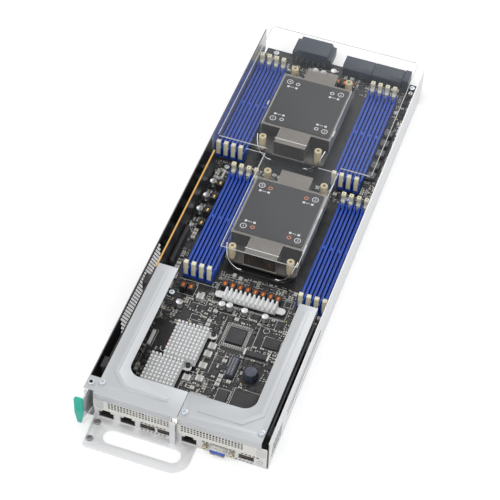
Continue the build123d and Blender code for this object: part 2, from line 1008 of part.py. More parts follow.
def nut_place(across, along):
    return across * nut_spacing_x / 2, along * nut_spacing_y / 2


def make_bolster(x, y):
    outer = clipped(sink_width - 2 * bolster_inset, sink_length + 2 * bolster_overrun, bolster_corner)
    window = Rectangle(package_width + 2 * board_gap, package_length + 2 * board_gap)
    frame = prism_z(outer - window, board_top, board_top + bolster_thickness)
    hook_high = wire_pivot_height - wire_radius - free_play
    for across, along in corner_signs():
        nut_x, nut_y = nut_place(across, along)
        frame += pin(nut_x, nut_y, board_top, stud_top, stud_radius)
        hook_x = nut_x - across * wire_pivot_in
        hook_y_middle = nut_y + along * wire_pivot_out
        left, right = sorted((hook_x, hook_x - across * wire_hook_width))
        near, far = sorted((hook_y_middle - along * 3 * wire_radius, hook_y_middle + along * 2 * wire_radius))
        frame += stock(left, right, near, far, board_top, hook_high)
    return Pos(x, y, 0) * frame


save("cpu_bolsters", *[make_bolster(x, y) for x, y in cpu_places.values()])


# Heatsinks: base, full-width fin pack and narrower fin tabs at both ends, folded over at the top
def fin_pack(width, y_start, y_end):
    """Folded fins across this width, with the channels that the heat pipes lie in."""
    pitch = (sink_width - fin_thickness) / (fin_count - 1)
    fins = panel((-width / 2, sink_top - fin_fold), (width / 2, sink_top))
    for step in range(fin_count):
        left = -sink_width / 2 + step * pitch
        if -width / 2 <= left and left + fin_thickness <= width / 2:
            fins += panel((left, sink_base_top - free_play), (left + fin_thickness, sink_top))
    channel_half = pipe_width / 2 + free_play
    for side in (-1, 1):
        middle = side * pipe_spread
        channel_top = sink_base_top + pipe_height + free_play
        fins -= panel((middle - channel_half, sink_base_top), (middle + channel_half, channel_top))
        fins -= panel((middle - channel_half, sink_base_top - sheet), (middle + channel_half, sink_base_top))
    return prism_y(fins, y_start, y_end)


def make_heatsink(x, y):
    end = sink_length / 2
    base = prism_z(clipped(sink_width, sink_length, sink_corner), sink_bottom, sink_base_top)
    sink = base + fin_pack(sink_width, -end + near_tab, end - far_tab) + fin_pack(tab_width, -end, end)
    for across, along in corner_signs():
        sink -= hole(*nut_place(across, along), 0, sink_top, nut_neck_radius + loose)
    return Pos(x, y, 0) * sink


def make_pipes(x, y):
    """Two flattened heat pipes that run through the fins from tab to tab."""
    end = sink_length / 2 - pipe_end_in
    pipes = []
    for side in (-1, 1):
        section = clipped(pipe_width, pipe_height, pipe_height / 4)
        section = Pos(side * pipe_spread, sink_base_top + pipe_height / 2) * section
        pipes.append(Pos(x, y, 0) * prism_y(section, -end, end))
    return pipes


for cpu, (cpu_x, cpu_y) in cpu_places.items():
    save(f"{cpu}_heatsink", make_heatsink(cpu_x, cpu_y))
save("heat_pipes", *[pipe for place in cpu_places.values() for pipe in make_pipes(*place)])


# Heatsink nuts: each turns on its own stud
def make_nut(x, y):
    neck_low = sink_bottom + loose
    low = sink_base_top + loose
    high = low + nut_height
    nut = pin(x, y, low, high, nut_radius) + pin(x, y, neck_low, low, nut_neck_radius)
    nut -= hole(x, y, neck_low - sheet, stud_top + loose, stud_radius + free_play / 2)
    return nut - pin(x, y, high - nut_recess_depth, high + sheet, nut_recess_radius, 6)


corner_names = {(-1, -1): "near_left", (1, -1): "near_right", (-1, 1): "far_left", (1, 1): "far_right"}
for cpu, (cpu_x, cpu_y) in cpu_places.items():
    for signs, corner in corner_names.items():
        nut_dx, nut_dy = nut_place(*signs)
        save(f"{cpu}_nut_{corner}", make_nut(cpu_x + nut_dx, cpu_y + nut_dy))


# Bail wires: each bends over the outer side of its nut from a straight pivot end on its hook
def make_wire(x, y, across, along):
    pivot_x = x - across * wire_pivot_in
    pivot_y = y + along * wire_pivot_out
    route = Polyline(
        (pivot_x, pivot_y, wire_pivot_height),
        (x + across * wire_shoulder_across, pivot_y, wire_shoulder_height),
        (x + across * wire_bend_across, pivot_y - along * wire_bend_in, wire_bend_height),
        (x + across * wire_reach_out, pivot_y - along * wire_reach_in, wire_top),
    )
    section = Plane(origin=route @ 0, z_dir=route % 0) * pin_outline(wire_radius, 6)
    arch = sweep(section, path=route, transition=Transition.RIGHT)
    left, right = sorted((pivot_x - across * wire_tail, pivot_x + across * wire_radius))
    return arch + prism_x(Pos(pivot_y, wire_pivot_height) * pin_outline(wire_radius, 6), left, right)


for cpu, (cpu_x, cpu_y) in cpu_places.items():
    for end, along in (("near", -1), ("far", 1)):
        wires = []
        for across in (-1, 1):
            nut_dx, nut_dy = nut_place(across, along)
            wires.append(make_wire(cpu_x + nut_dx, cpu_y + nut_dy, across, along))
        save(f"{cpu}_wires_{end}", *wires)


# Regulator heatsink: a base with ears and a comb of fins, over a row of regulators
vrm_centre_x = 100.0
vrm_base_width = 70.0
vrm_fins = 12
vrm_pitch = 4.55
vrm_fin = 1.7
vrm_depth = 11.5
vrm_back = 4.1
vrm_y = near_row_y - vrm_back - vrm_depth
vrm_base_low = board_top + 1.6
vrm_base_top = vrm_base_low + 3.0
vrm_top = board_top + 17.0
vrm_ear = 9.0
vrm_ear_thickness = 1.6
vrm_ear_inset = 2.0


def make_vrm_sink():
    half = vrm_base_width / 2
    fins = panel((vrm_centre_x - half + vrm_ear, vrm_base_low), (vrm_centre_x + half - vrm_ear, vrm_base_top))
    first = vrm_centre_x - (vrm_fins - 1) * vrm_pitch / 2
    for step in range(vrm_fins):
        x = first + step * vrm_pitch
        fins += outline_of(
            (x - vrm_fin, vrm_base_low),
            (x + vrm_fin, vrm_base_low),
            (x + vrm_fin / 2, vrm_top),
            (x - vrm_fin / 2, vrm_top),
        )
    middle = Pos(vrm_centre_x, vrm_y + vrm_depth / 2)
    ears = middle * clipped(vrm_base_width, vrm_depth - 2 * vrm_ear_inset, vrm_ear_inset)
    return prism_y(fins, vrm_y, vrm_y + vrm_depth) + prism_z(ears, vrm_base_low, vrm_base_low + vrm_ear_thickness)


save("regulator_heatsink", make_vrm_sink())


# Controller heatsinks: blocks of pin fins on square bases, held by push pins in two ears
chip_sinks = ((62.0, 96.3), (52.3, 54.0))
chip_sink_width = 30.0
chip_sink_length = 39.0
chip_sink_low = board_top + 2.4
chip_sink_base = 2.4
chip_sink_top = board_top + 13.6
chip_fins = 7
chip_fin = 1.8
chip_channels = 2
chip_ear = 1.4
chip_body = 24.0
ear_reach = 7.4
ear_width = 7.0
pin_radius = 1.4
pin_head_radius = 2.3
pin_head_height = 3.4
ear_offsets = ((1, 4.0, 1.0), (-1, 4.0, -9.0))


def ear_place(x, y, side, out, beyond):
    """Centre of the push pin at one corner: so far out from the side, so far beyond the end."""
    return x + side * (chip_sink_width / 2 + out), y + side * (chip_sink_length / 2 + beyond)


def make_chip_sink(x, y):
    half = chip_sink_width / 2
    near = y - chip_sink_length / 2
    comb = panel((x - half, chip_sink_low), (x + half, chip_sink_low + chip_sink_base))
    pitch = (chip_sink_width - chip_fin) / (chip_fins - 1)
    for step in range(chip_fins):
        left = x - half + step * pitch
        comb += panel((left, chip_sink_low), (left + chip_fin, chip_sink_top))
    sink = prism_y(comb, near, near + chip_sink_length)
    spacing = chip_sink_length / (chip_channels + 1)
    low = chip_sink_low + chip_sink_base
    high = chip_sink_top + sheet
    for step in range(chip_channels):
        start = near + (step + 1) * spacing - chip_fin / 2
        sink -= stock(x - half - sheet, x + half + sheet, start, start + chip_fin, low, high)
    for side, out, beyond in ear_offsets:
        ear_x, ear_y = ear_place(x, y, side, out, beyond)
        ear = Pos(ear_x - side * ear_reach / 4, ear_y - side * sheet) * clipped(ear_reach * 1.5, ear_width, 2 * sheet)
        ear -= Pos(ear_x, ear_y) * hole_outline(pin_radius + free_play, 6)
        sink += prism_z(ear, chip_sink_low, chip_sink_low + chip_ear)
    return sink


def make_push_pin(x, y):
    seat = chip_sink_low + chip_ear
    return pin(x, y, board_top, seat, pin_radius, 6) + pin(x, y, seat, seat + pin_head_height, pin_head_radius, 6)


save("controller_heatsinks", *[make_chip_sink(x, y) for x, y in chip_sinks])
save("push_pins", *[make_push_pin(*ear_place(x, y, *ear)) for x, y in chip_sinks for ear in ear_offsets])


# Capacitors: aluminium cans on moulded feet
can_radius = 3.2
can_height = 7.6
can_foot = 1.2
can_row_y = vrm_y - 8.6
left_can_y = near_row_y - 35.8
can_places = [(76.4, can_row_y + 0.4), (83.8, can_row_y + 1.2), (99.2, can_row_y), (119.6, can_row_y)]
can_places += [(near_left_x + 7.2, left_can_y)]
can_places += [(14.8, near_row_y + along) for along in (82.0, 101.0, 121.0)]
can_places += [(x, tray_length - 15.5) for x in (62.1, 70.9)]
can_places += [(80.5, tray_length - 9.5)]


def make_can(x, y):
    foot = prism_z(Pos(x, y) * Rectangle(2 * can_radius, 2 * can_radius), board_top, board_top + can_foot)
    return foot + pin(x, y, board_top + can_foot, board_top + can_height, can_radius)


save("capacitors", *[make_can(x, y) for x, y in can_places])


# Chokes: ferrite blocks round a copper core
choke_size = 6.2
choke_length = 8.0
choke_height = 6.6
choke_pitch = 7.63
choke_row_start = vrm_centre_x - 29.4
choke_row_y = vrm_y + vrm_depth + choke_length / 2 + 1.6
choke_places = [(choke_row_start + step * choke_pitch, choke_row_y) for step in range(8)]
choke_places += [(near_left_x + along, near_row_y - 13.5) for along in (3.2, 11.0)]
choke_places += [(22.3, near_row_y + along) for along in (66.0, 84.0, 103.0, 122.0)]
choke_places += [(88.7 + step * choke_pitch, tray_length - 21.0) for step in range(3)]


def make_choke(x, y):
    return prism_z(Pos(x, y) * Rectangle(choke_size, choke_length), board_top, board_top + choke_height)


save("chokes", *[make_choke(x, y) for x, y in choke_places])


# Board connectors: drive socket, mezzanine socket, riser socket, relay block and button switch
mezzanine_x = 109.8
mezzanine_y = 88.3
mezzanine_width = 7.2
mezzanine_length = 22.6
mezzanine_height = 6.4
mezzanine_wall = 1.1
mezzanine_tongue = 2.0
drive_x = 126.0
drive_y = 108.8
drive_width = 21.0
drive_depth_y = 6.0
drive_height = 4.0
drive_mouth_low = 1.4
drive_mouth_high = 2.8
riser_socket_width = 4.6
riser_socket_length = 48.0
riser_socket_height = 9.0
riser_socket_in = 8.0
block_x = 128.6
block_y = 86.0
block_width = 13.6
block_length = 13.4
block_height = 8.4
block_corner = 3.5


def make_drive_socket():
    half = drive_width / 2
    near = drive_y - drive_depth_y / 2
    body = stock(drive_x - half, drive_x + half, near, near + drive_depth_y, board_top, board_top + drive_height)
    return body - stock(
        drive_x - half + sheet,
        drive_x + half - sheet,
        near - sheet,
        near + drive_depth_y / 3,
        board_top + drive_mouth_low,
        board_top + drive_mouth_high,
    )


def make_mezzanine_socket():
    place = Pos(mezzanine_x, mezzanine_y)
    top = board_top + mezzanine_height
    body = prism_z(place * Rectangle(mezzanine_width, mezzanine_length), board_top, top)
    well_width = mezzanine_width - 2 * mezzanine_wall
    well_length = mezzanine_length - 2 * mezzanine_wall
    body -= prism_z(place * Rectangle(well_width, well_length), board_top + mezzanine_wall, top + sheet)
    tongue = place * Rectangle(mezzanine_tongue, well_length - mezzanine_wall)
    return body + prism_z(tongue, board_top + mezzanine_wall / 2, top - free_play)


def make_riser_socket():
    x = left_card_x + card_thickness + loose
    near = near_row_y + riser_socket_in
    far = near + riser_socket_length
    body = stock(x, x + riser_socket_width, near, far, board_top, board_top + riser_socket_height)
    return chamfer(body.edges().group_by(Axis.Z)[-1].filter_by(Axis.Y), sheet)


def make_block():
    outline = Pos(block_x, block_y) * clipped(block_width, block_length, block_corner)
    return prism_z(outline, board_top, board_top + block_height)


def make_switch():
    half = switch_width / 2
    left = button_x - half
    far = switch_front + switch_depth
    return stock(left, left + switch_width, switch_front, far, board_top, board_top + switch_height)


save(
    "board_sockets",
    make_drive_socket(),
    make_mezzanine_socket(),
    make_riser_socket(),
    make_block(),
    make_switch(),
)


# Chips: management processor, memory and controllers, and the bodies under the small heatsinks
bmc_size = 16.4
bmc_near_gap = 16.6
bmc_y = mezzanine_y + mezzanine_length / 2 + bmc_near_gap + bmc_size / 2
chip_places = (
    (100.4, bmc_y, bmc_size, bmc_size, 1.8),
    (111.2, 55.0, 9.4, 16.0, 1.4),
    (132.0, 58.0, 22.0, 18.0, 1.8),
    (135.0, 128.0, 14.0, 12.0, 1.4),
)


def make_chip(x, y, width, length, height):
    return prism_z(Pos(x, y) * Rectangle(width, length), board_top, board_top + height)


sink_gap = chip_sink_low - board_top
vrm_gap = vrm_base_low - board_top
chips = [make_chip(*place) for place in chip_places]
chips += [make_chip(x, y, chip_body, chip_body, sink_gap) for x, y in chip_sinks]
regulator_width = vrm_base_width - 2 * vrm_ear
regulator_length = vrm_depth - 2 * vrm_ear_inset
chips.append(make_chip(vrm_centre_x, vrm_y + vrm_depth / 2, regulator_width, regulator_length, vrm_gap))
save("chips", *chips)


# Midplane connectors: power block, two signal blocks and the guide socket
blade_count = 6
blade_width = 1.8
blade_depth = 9.0
blade_low = 2.5
blade_inset = 4.0
tail_reach = 6.0
tail_height = 6.0
tail_width = 2.0
mouth_wall = 1.5
mouth_depth = 8.0
wafer_count = 5
wafer_width = 1.0
wafer_depth = 5.0
signal_slope = 3.0
signal_split = 0.4


def make_power_connector():
    y_end = tray_length + power_overhang
    y_start = y_end - power_depth
    x = power_start
    right = x + power_length
    low = board_top
    shoulder = low + power_shoulder
    high = low + power_height
    front = outline_of(
        (x, low),
        (right, low),
        (right, shoulder),
        (right - 3.0, shoulder),
        (right - 5.0, high),
        (x + 5.0, high),
        (x + 3.0, shoulder),
        (x, shoulder),
    )
    body = prism_y(front, y_start, y_end)
    blade_pitch = power_length / (blade_count + 1)
    tail = outline_of(
        (y_start - tail_reach, low),
        (y_start - tail_reach + sheet, low),
        (y_start - tail_reach + sheet, low + tail_height - sheet),
        (y_start + sheet, low + tail_height - sheet),
        (y_start + sheet, low + tail_height),
        (y_start - tail_reach, low + tail_height),
    )
    for step in range(blade_count):
        middle = x + (step + 1) * blade_pitch
        left = middle - blade_width / 2
        slot_end = left + blade_width
        body -= stock(left, slot_end, y_end - blade_depth, y_end + sheet, low + blade_low, high - blade_inset)
        body += prism_x(tail, middle - tail_width / 2, middle + tail_width / 2)
    return body


def make_signal_connector(x):
    y_end = tray_length + signal_overhang
    y_start = y_end - signal_depth
    low = board_top
    high = low + signal_height
    side = outline_of(
        (y_start, low),
        (y_end, low),
        (y_end, high),
        (y_start + signal_slope, high),
        (y_start, high - signal_slope),
    )
    body = prism_x(side, x, x + signal_length)
    mouth_left = x + mouth_wall
    mouth_right = x + signal_length - mouth_wall
    mouth_low = low + mouth_wall
    mouth_high = high - mouth_wall
    body -= stock(mouth_left, mouth_right, y_end - mouth_depth, y_end + sheet, mouth_low, mouth_high)
    column_pitch = (mouth_right - mouth_left) / (wafer_count + 1)
    for step in range(wafer_count):
        left = mouth_left + (step + 1) * column_pitch - wafer_width / 2
        back = y_end - mouth_depth
        body += stock(left, left + wafer_width, back, back + wafer_depth, mouth_low, mouth_high)
    return body


def make_guide_socket():
    x = signal_start + 2 * signal_length + 1.0
    y_end = tray_length + signal_overhang
    body = stock(x, x + guide_width, y_end - signal_depth, y_end, board_top, board_top + signal_height + sheet)
    bore = Pos(x + guide_width / 2, board_top + signal_height / 2) * Circle(guide_bore)
    return body - prism_y(bore, y_end - guide_bore_depth, y_end + sheet)


save("power_connector", make_power_connector())
save(
    "signal_connectors",
    make_signal_connector(signal_start),
    make_signal_connector(signal_start + signal_length + signal_split),
    make_guide_socket(),
)


# Air duct: clear moulded roof with a lip, and two walls that follow the heatsinks
near_wall_left = near_sink_left - near_sink_left_gap + board_gap + duct_sheet / 2
near_wall_right = near_sink_left + sink_width + duct_right_allowance
far_wall_left = far_sink_left - duct_far_left_allowance
far_wall_right = far_sink_left + sink_width + duct_right_allowance
duct_right = tray_width - duct_right_inset
duct_wide_start = far_row_y - 2.2
duct_foot = board_top + loose
duct_step_y = near_row_end + duct_step_in
duct_taper_y = far_sink_y + nut_spacing_y / 2 + duct_taper_start


def make_duct():
    wide = panel((duct_left, duct_wide_start), (duct_right, tray_length + duct_far_overhang))
    roof = chamfer(wide.vertices(), duct_corner)
    neck_left = near_wall_left - duct_sheet / 2
    neck_right = near_wall_right + duct_sheet / 2
    roof += panel((neck_left, duct_near_end), (neck_right, duct_wide_start + duct_lip))
    duct = prism_z(roof, duct_ceiling, duct_top)
    left_route = Polyline(
        (near_wall_left, duct_near_end - duct_wing),
        (near_wall_left, duct_step_y),
        (far_wall_left, duct_step_y),
        (far_wall_left, duct_taper_y),
        (far_wall_left + duct_taper / 2, duct_taper_y + duct_taper),
    )
    right_route = Polyline(
        (near_wall_right + duct_wing_flare, duct_near_end - duct_wing),
        (near_wall_right, duct_near_end),
        (near_wall_right, duct_step_y),
        (far_wall_right, duct_step_y),
        (far_wall_right, duct_taper_y),
        (far_wall_right - duct_taper / 2, duct_taper_y + duct_taper),
    )
    for route in (left_route, right_route):
        duct += prism_z(trace(route, duct_sheet), duct_foot, duct_top - duct_sheet / 2)
    lip_low = duct_top - duct_lip
    for left, right in ((duct_left + duct_corner, neck_left), (neck_right, duct_right - duct_corner)):
        duct += stock(left, right, duct_wide_start, duct_wide_start + duct_sheet, lip_low, duct_top)
    return duct


save("air_duct", make_duct())
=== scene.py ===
import json
import math
import random

import bpy
from mathutils import Matrix, Quaternion, Vector

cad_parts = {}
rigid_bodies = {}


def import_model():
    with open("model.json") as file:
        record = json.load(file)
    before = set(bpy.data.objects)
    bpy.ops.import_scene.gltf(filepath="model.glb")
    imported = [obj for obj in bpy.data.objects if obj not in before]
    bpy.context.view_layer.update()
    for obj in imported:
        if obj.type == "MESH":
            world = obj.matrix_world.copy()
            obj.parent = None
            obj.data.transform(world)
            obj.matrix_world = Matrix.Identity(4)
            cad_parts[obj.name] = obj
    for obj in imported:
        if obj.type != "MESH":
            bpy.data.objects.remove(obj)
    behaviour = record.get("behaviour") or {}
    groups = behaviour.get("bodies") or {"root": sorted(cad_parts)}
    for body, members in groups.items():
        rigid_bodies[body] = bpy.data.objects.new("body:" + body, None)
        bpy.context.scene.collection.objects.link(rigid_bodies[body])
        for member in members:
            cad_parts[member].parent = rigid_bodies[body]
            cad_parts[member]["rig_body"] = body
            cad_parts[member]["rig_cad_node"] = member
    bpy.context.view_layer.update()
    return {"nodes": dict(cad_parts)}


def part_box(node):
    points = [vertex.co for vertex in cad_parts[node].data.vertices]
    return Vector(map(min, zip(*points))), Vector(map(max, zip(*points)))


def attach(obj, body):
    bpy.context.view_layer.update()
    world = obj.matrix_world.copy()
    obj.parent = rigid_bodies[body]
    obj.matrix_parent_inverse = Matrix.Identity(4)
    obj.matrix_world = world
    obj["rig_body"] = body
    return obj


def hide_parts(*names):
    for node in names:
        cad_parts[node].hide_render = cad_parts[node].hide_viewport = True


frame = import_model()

node = frame["nodes"]


# The stand is a pale floor under soft white light, seen in the photograph's view:
# along the node from its handle end, a little from the right and from well above.
mm = 0.001
corner_of_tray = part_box("tray")[0]


def at(x, y, z):
    """A place in millimetres from the tray's left corner at the I/O end."""
    return corner_of_tray + Vector((x, y, z)) * mm


azimuth, elevation = math.radians(17.385), math.radians(49.654)
towards_lens = Vector((
    math.sin(azimuth) * math.cos(elevation),
    -math.cos(azimuth) * math.cos(elevation),
    math.sin(elevation),
))
camera = bpy.data.objects.new("camera", bpy.data.cameras.new("camera"))
bpy.context.scene.collection.objects.link(camera)
camera.data.sensor_width = 36.0
camera.data.lens = 128.83
camera.data.clip_start = 0.05
camera.location = at(75.8, 235.4, 0) + towards_lens * 1.7503
camera.rotation_mode = "QUATERNION"
level_view = (-towards_lens).to_track_quat("-Z", "Y")
camera.rotation_quaternion = Quaternion(towards_lens, math.radians(2.459)) @ level_view
bpy.context.scene.camera = camera

for name, place, size, power in (
    ("key_light", (-0.5, -0.9, 1.9), 1.1, 10.0),
    ("right_light", (1.5, -0.6, 1.1), 1.0, 5.0),
    ("back_light", (0.3, 1.6, 1.5), 1.2, 6.0),
):
    lamp = bpy.data.objects.new(name, bpy.data.lights.new(name, "AREA"))
    bpy.context.scene.collection.objects.link(lamp)
    lamp.data.shape = "SQUARE"
    lamp.data.size = size
    lamp.data.energy = power
    lamp.location = place
    lamp.rotation_euler = (-Vector(place)).to_track_quat("-Z", "Y").to_euler()


def feed(tree, fed, values):
    """Put each value on its input, or link it where it is another shader's output."""
    for socket, value in values.items():
        if isinstance(value, bpy.types.NodeSocket):
            tree.links.new(value, fed.inputs[socket])
        else:
            fed.inputs[socket].default_value = value


def shader(tree, kind, values, **settings):
    made = tree.nodes.new("ShaderNode" + kind)
    for name, value in settings.items():
        setattr(made, name, value)
    feed(tree, made, values)
    return made


def seen_directly(tree):
    """One for camera, mirror and glass rays, and nought for the light that falls on the node."""
    rays = shader(tree, "LightPath", {})
    found = rays.outputs["Is Camera Ray"]
    for kind in ("Is Glossy Ray", "Is Transmission Ray"):
        found = shader(tree, "Math", {0: found, 1: rays.outputs[kind]}, operation="MAXIMUM").outputs[0]
    return found


room = bpy.data.worlds.new("white_room")
bpy.context.scene.world = room
room.use_nodes = True
tree = room.node_tree
white = (1.0, 1.0, 1.0, 1.0)
fill = tree.nodes["Background"]
feed(tree, fill, {"Color": white, "Strength": 0.6})
backdrop = shader(tree, "Background", {"Color": white})
choice = shader(tree, "MixShader", {0: seen_directly(tree), 1: fill.outputs[0], 2: backdrop.outputs[0]})
feed(tree, tree.nodes["World Output"], {"Surface": choice.outputs[0]})

bpy.ops.object.select_all(action="DESELECT")
bpy.ops.mesh.primitive_plane_add(size=8.0, location=(0, 0, -0.0002))
floor = bpy.context.object
floor.name = "floor"
floor_paint = bpy.data.materials.new("floor_paint")
floor_paint.use_nodes = True
tree = floor_paint.node_tree
tree.nodes.remove(tree.nodes["Principled BSDF"])
matt = shader(tree, "BsdfDiffuse", {"Color": (0.82, 0.82, 0.82, 1.0)})
unlit = shader(tree, "Emission", {"Strength": 0.0})
lift = shader(tree, "Emission", {"Strength": 0.36})
choice = shader(tree, "MixShader", {0: seen_directly(tree), 1: unlit.outputs[0], 2: lift.outputs[0]})
both = shader(tree, "AddShader", {0: matt.outputs[0], 1: choice.outputs[0]})
feed(tree, tree.nodes["Material Output"], {"Surface": both.outputs[0]})
floor.data.materials.append(floor_paint)
bpy.context.scene.view_settings.view_transform = "Standard"


# The tray is one folded sheet of galvanised steel with two low walls. The left wall's inner face is coloured
# near black and it has a punched mesh, and the right wall has louvres near the I/O end and rows of small
# diamonds.
# A tongue runs on under the connectors, and bosses pressed in the floor carry the board.
def finish(name, colour, roughness, metal=0.0, mottle=0.05, mottle_size=18.0, grain=0.02,
           grain_size=900.0, alpha=1.0, stretch=(1, 1, 1)):
    """A surface whose tint drifts in clouds and whose gloss and relief vary in a fine grain."""
    material = bpy.data.materials.new(name)
    material.use_nodes = True
    tree = material.node_tree
    place = shader(tree, "TexCoord", {}).outputs["Object"]
    scaled = shader(tree, "Mapping", {"Vector": place, "Scale": stretch}, name="stretch").outputs[0]
    cloud = shader(tree, "TexNoise", {"Scale": mottle_size, "Detail": 4.0, "Vector": scaled})
    tint = shader(tree, "ValToRGB", {"Fac": cloud.outputs["Fac"]}, name="tint")
    for end, position, change in zip(tint.color_ramp.elements, (0.3, 0.7), (-mottle, mottle)):
        end.position = position
        end.color = [min(1.0, max(0.0, part * (1 + change))) for part in colour] + [1.0]
    speck = shader(tree, "TexNoise", {"Scale": grain_size, "Detail": 2.0, "Vector": scaled}).outputs["Fac"]
    gloss = shader(tree, "MapRange", {
        "To Min": max(0.02, roughness - 0.08), "To Max": min(1.0, roughness + 0.08), "Value": speck})
    relief = shader(tree, "Bump", {"Strength": grain, "Distance": 0.2 * mm, "Height": speck})
    feed(tree, tree.nodes["Principled BSDF"], {
        "Metallic": metal, "Alpha": alpha, "Base Color": tint.outputs["Color"],
        "Roughness": gloss.outputs["Result"], "Normal": relief.outputs["Normal"]})
    return material


def lay_down():
    """Leave the mesh being worked on and let go of every piece."""
    if bpy.context.mode != "OBJECT":
        bpy.ops.object.mode_set(mode="OBJECT")
    bpy.ops.object.select_all(action="DESELECT")


def take(piece):
    lay_down()
    piece.select_set(True)
    bpy.context.view_layer.objects.active = piece


def settle(name):
    """Name the new primitive and put its place and size into its mesh."""
    piece = bpy.context.object
    piece.name = name
    bpy.ops.object.transform_apply(location=True, rotation=True, scale=True)
    return piece


def bar(name, low, high):
    start, end = at(*low), at(*high)
    lay_down()
    bpy.ops.mesh.primitive_cube_add(size=1, location=(start + end) / 2, scale=end - start)
    return settle(name)


def rod(name, sides, radius, length, middle, turn=(0, 0, 0)):
    lay_down()
    bpy.ops.mesh.primitive_cylinder_add(vertices=sides, radius=radius * mm, depth=length * mm,
                                        location=at(*middle), rotation=turn)
    return settle(name)


def choose_faces(piece, test):
    """Open the mesh with only those faces chosen whose centre and normal pass the test."""
    take(piece)
    bpy.ops.object.mode_set(mode="EDIT")
    bpy.ops.mesh.select_mode(type="FACE")
    bpy.ops.mesh.select_all(action="DESELECT")
    bpy.ops.object.mode_set(mode="OBJECT")
    for face in piece.data.polygons:
        face.select = bool(test((face.center - corner_of_tray) / mm, face.normal))
    bpy.ops.object.mode_set(mode="EDIT")


def choose_edges(piece, test):
    """Open the mesh with only those edges chosen whose two ends both pass the test."""
    take(piece)
    bpy.ops.object.mode_set(mode="EDIT")
    bpy.ops.mesh.select_mode(type="EDGE")
    bpy.ops.mesh.select_all(action="DESELECT")
    bpy.ops.object.mode_set(mode="OBJECT")
    for edge in piece.data.edges:
        ends = [(piece.data.vertices[v].co - corner_of_tray) / mm for v in edge.vertices]
        edge.select = bool(test(*ends))
    bpy.ops.object.mode_set(mode="EDIT")


def choose_top(piece):
    choose_faces(piece, lambda centre, normal: normal.z > 0.9)


def round_off(width, steps=1):
    """Bevel what is chosen. This step and the next ones work on it in millimetres."""
    bpy.ops.mesh.bevel(offset=width * mm, segments=steps, affect="EDGES")


def ease(piece, width, steps, test):
    """Bevel the edges whose two ends both pass the test."""
    choose_edges(piece, test)
    round_off(width, steps)


def split(place, direction, **more):
    bpy.ops.mesh.bisect(plane_co=at(*place), plane_no=direction, **more)


def inset(width):
    bpy.ops.mesh.inset(thickness=width * mm)


def draw_out(x, y, z):
    bpy.ops.mesh.extrude_region_move(TRANSFORM_OT_translate={"value": (x * mm, y * mm, z * mm)})


def move_by(x, y, z):
    bpy.ops.transform.translate(value=(x * mm, y * mm, z * mm))


def squeeze(x, y, about=(0, 0, 0)):
    """Scale what is chosen in plan about a place."""
    bpy.ops.transform.resize(value=(x, y, 1), center_override=at(*about))


def break_edges(piece, width, steps=2):
    """Round the sharp edges by this many millimetres and shade the rounds smoothly."""
    take(piece)
    edge = piece.modifiers.new("edge", "BEVEL")
    edge.width = width * mm
    edge.segments = steps
    edge.limit_method = "ANGLE"
    edge.angle_limit = math.radians(40)
    edge.use_clamp_overlap = True
    bpy.ops.object.modifier_apply(modifier=edge.name)
    bpy.ops.object.shade_smooth_by_angle(angle=math.radians(35))
    return piece


def copy_to(piece, x, y=0.0, z=0.0, turn=0.0):
    """Another of the same piece, turned about the tray's corner and then moved, in millimetres."""
    other = piece.copy()
    other.data = piece.data.copy()
    bpy.context.scene.collection.objects.link(other)
    to_corner, move = Matrix.Translation(corner_of_tray), Matrix.Translation(Vector((x, y, z)) * mm)
    spin = Matrix.Rotation(math.radians(turn), 4, "Z")
    other.data.transform(move @ (to_corner @ spin @ Matrix.Translation(-corner_of_tray)))
    return other


def joined(name, pieces):
    lay_down()
    for piece in pieces:
        piece.select_set(True)
    bpy.context.view_layer.objects.active = pieces[0]
    if len(pieces) > 1:
        bpy.ops.object.join()
    pieces[0].name = name
    return pieces[0]


def punch(piece, tools, overlapping=False):
    """Cut the tools out of the piece, and put them away."""
    cutter = joined("punch_tool", tools)
    take(piece)
    cut = piece.modifiers.new("punch", "BOOLEAN")
    cut.operation = "DIFFERENCE"
    cut.solver = "EXACT"
    cut.use_self = overlapping
    cut.object = cutter
    bpy.ops.object.modifier_apply(modifier=cut.name)
    bpy.data.objects.remove(cutter)
    return piece


def coat(piece, material):
    piece.data.materials.append(material)
    return piece


def fitted(piece, material, stands_for=None, body="root"):
    """Give the piece its finish and its body, and hide the CAD node it stands for."""
    lay_down()
    if material is not None:
        piece.data.materials.clear()
        coat(piece, material)
    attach(piece, body)
    if stands_for:
        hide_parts(stands_for)
    return piece


def paint(piece, material, test):
    """Give the faces whose centre passes the test another finish."""
    coat(piece, material)
    for face in piece.data.polygons:
        if test((face.center - corner_of_tray) / mm):
            face.material_index = len(piece.data.materials) - 1


galvanised = finish("galvanised_sheet", (0.66, 0.67, 0.685), 0.34, 0.8, 0.03, 45.0, 0.06, 700.0)
left_wall_inner_black = finish("left_wall_inner_black", (0.016, 0.016, 0.018), 0.3, 0.0, 0.2, 60.0, 0.02)
hole_wall_shade = finish("hole_wall_shade", (0.16, 0.16, 0.165), 0.5, 0.7, 0.1, 200.0)
tray_width, tray_length, wall_height, sheet, bend = 175.0, 500.0, 39.0, 1.0, 1.6
tray = bar("tray_sheet", (0, 0, 0), (tray_width, tray_length, wall_height))
choose_faces(tray, lambda centre, normal: abs(normal.y) > 0.9 or normal.z > 0.9)
bpy.ops.mesh.delete(type="FACE")
ease(tray, bend, 4, lambda a, b: max(a.z, b.z) < 0.1 and abs(a.x - b.x) < 0.1)
choose_faces(tray, lambda centre, normal: centre.x < bend)
split((0, 14, 0), (0, 1, 0))
choose_faces(tray, lambda centre, normal: centre.x < 0.1 and centre.y < 14)
bpy.ops.mesh.delete(type="FACE")
choose_faces(tray, lambda centre, normal: centre.x < bend or centre.x > tray_width - bend)
split((0, tray_length - 13, 0), (0, 1, -1))
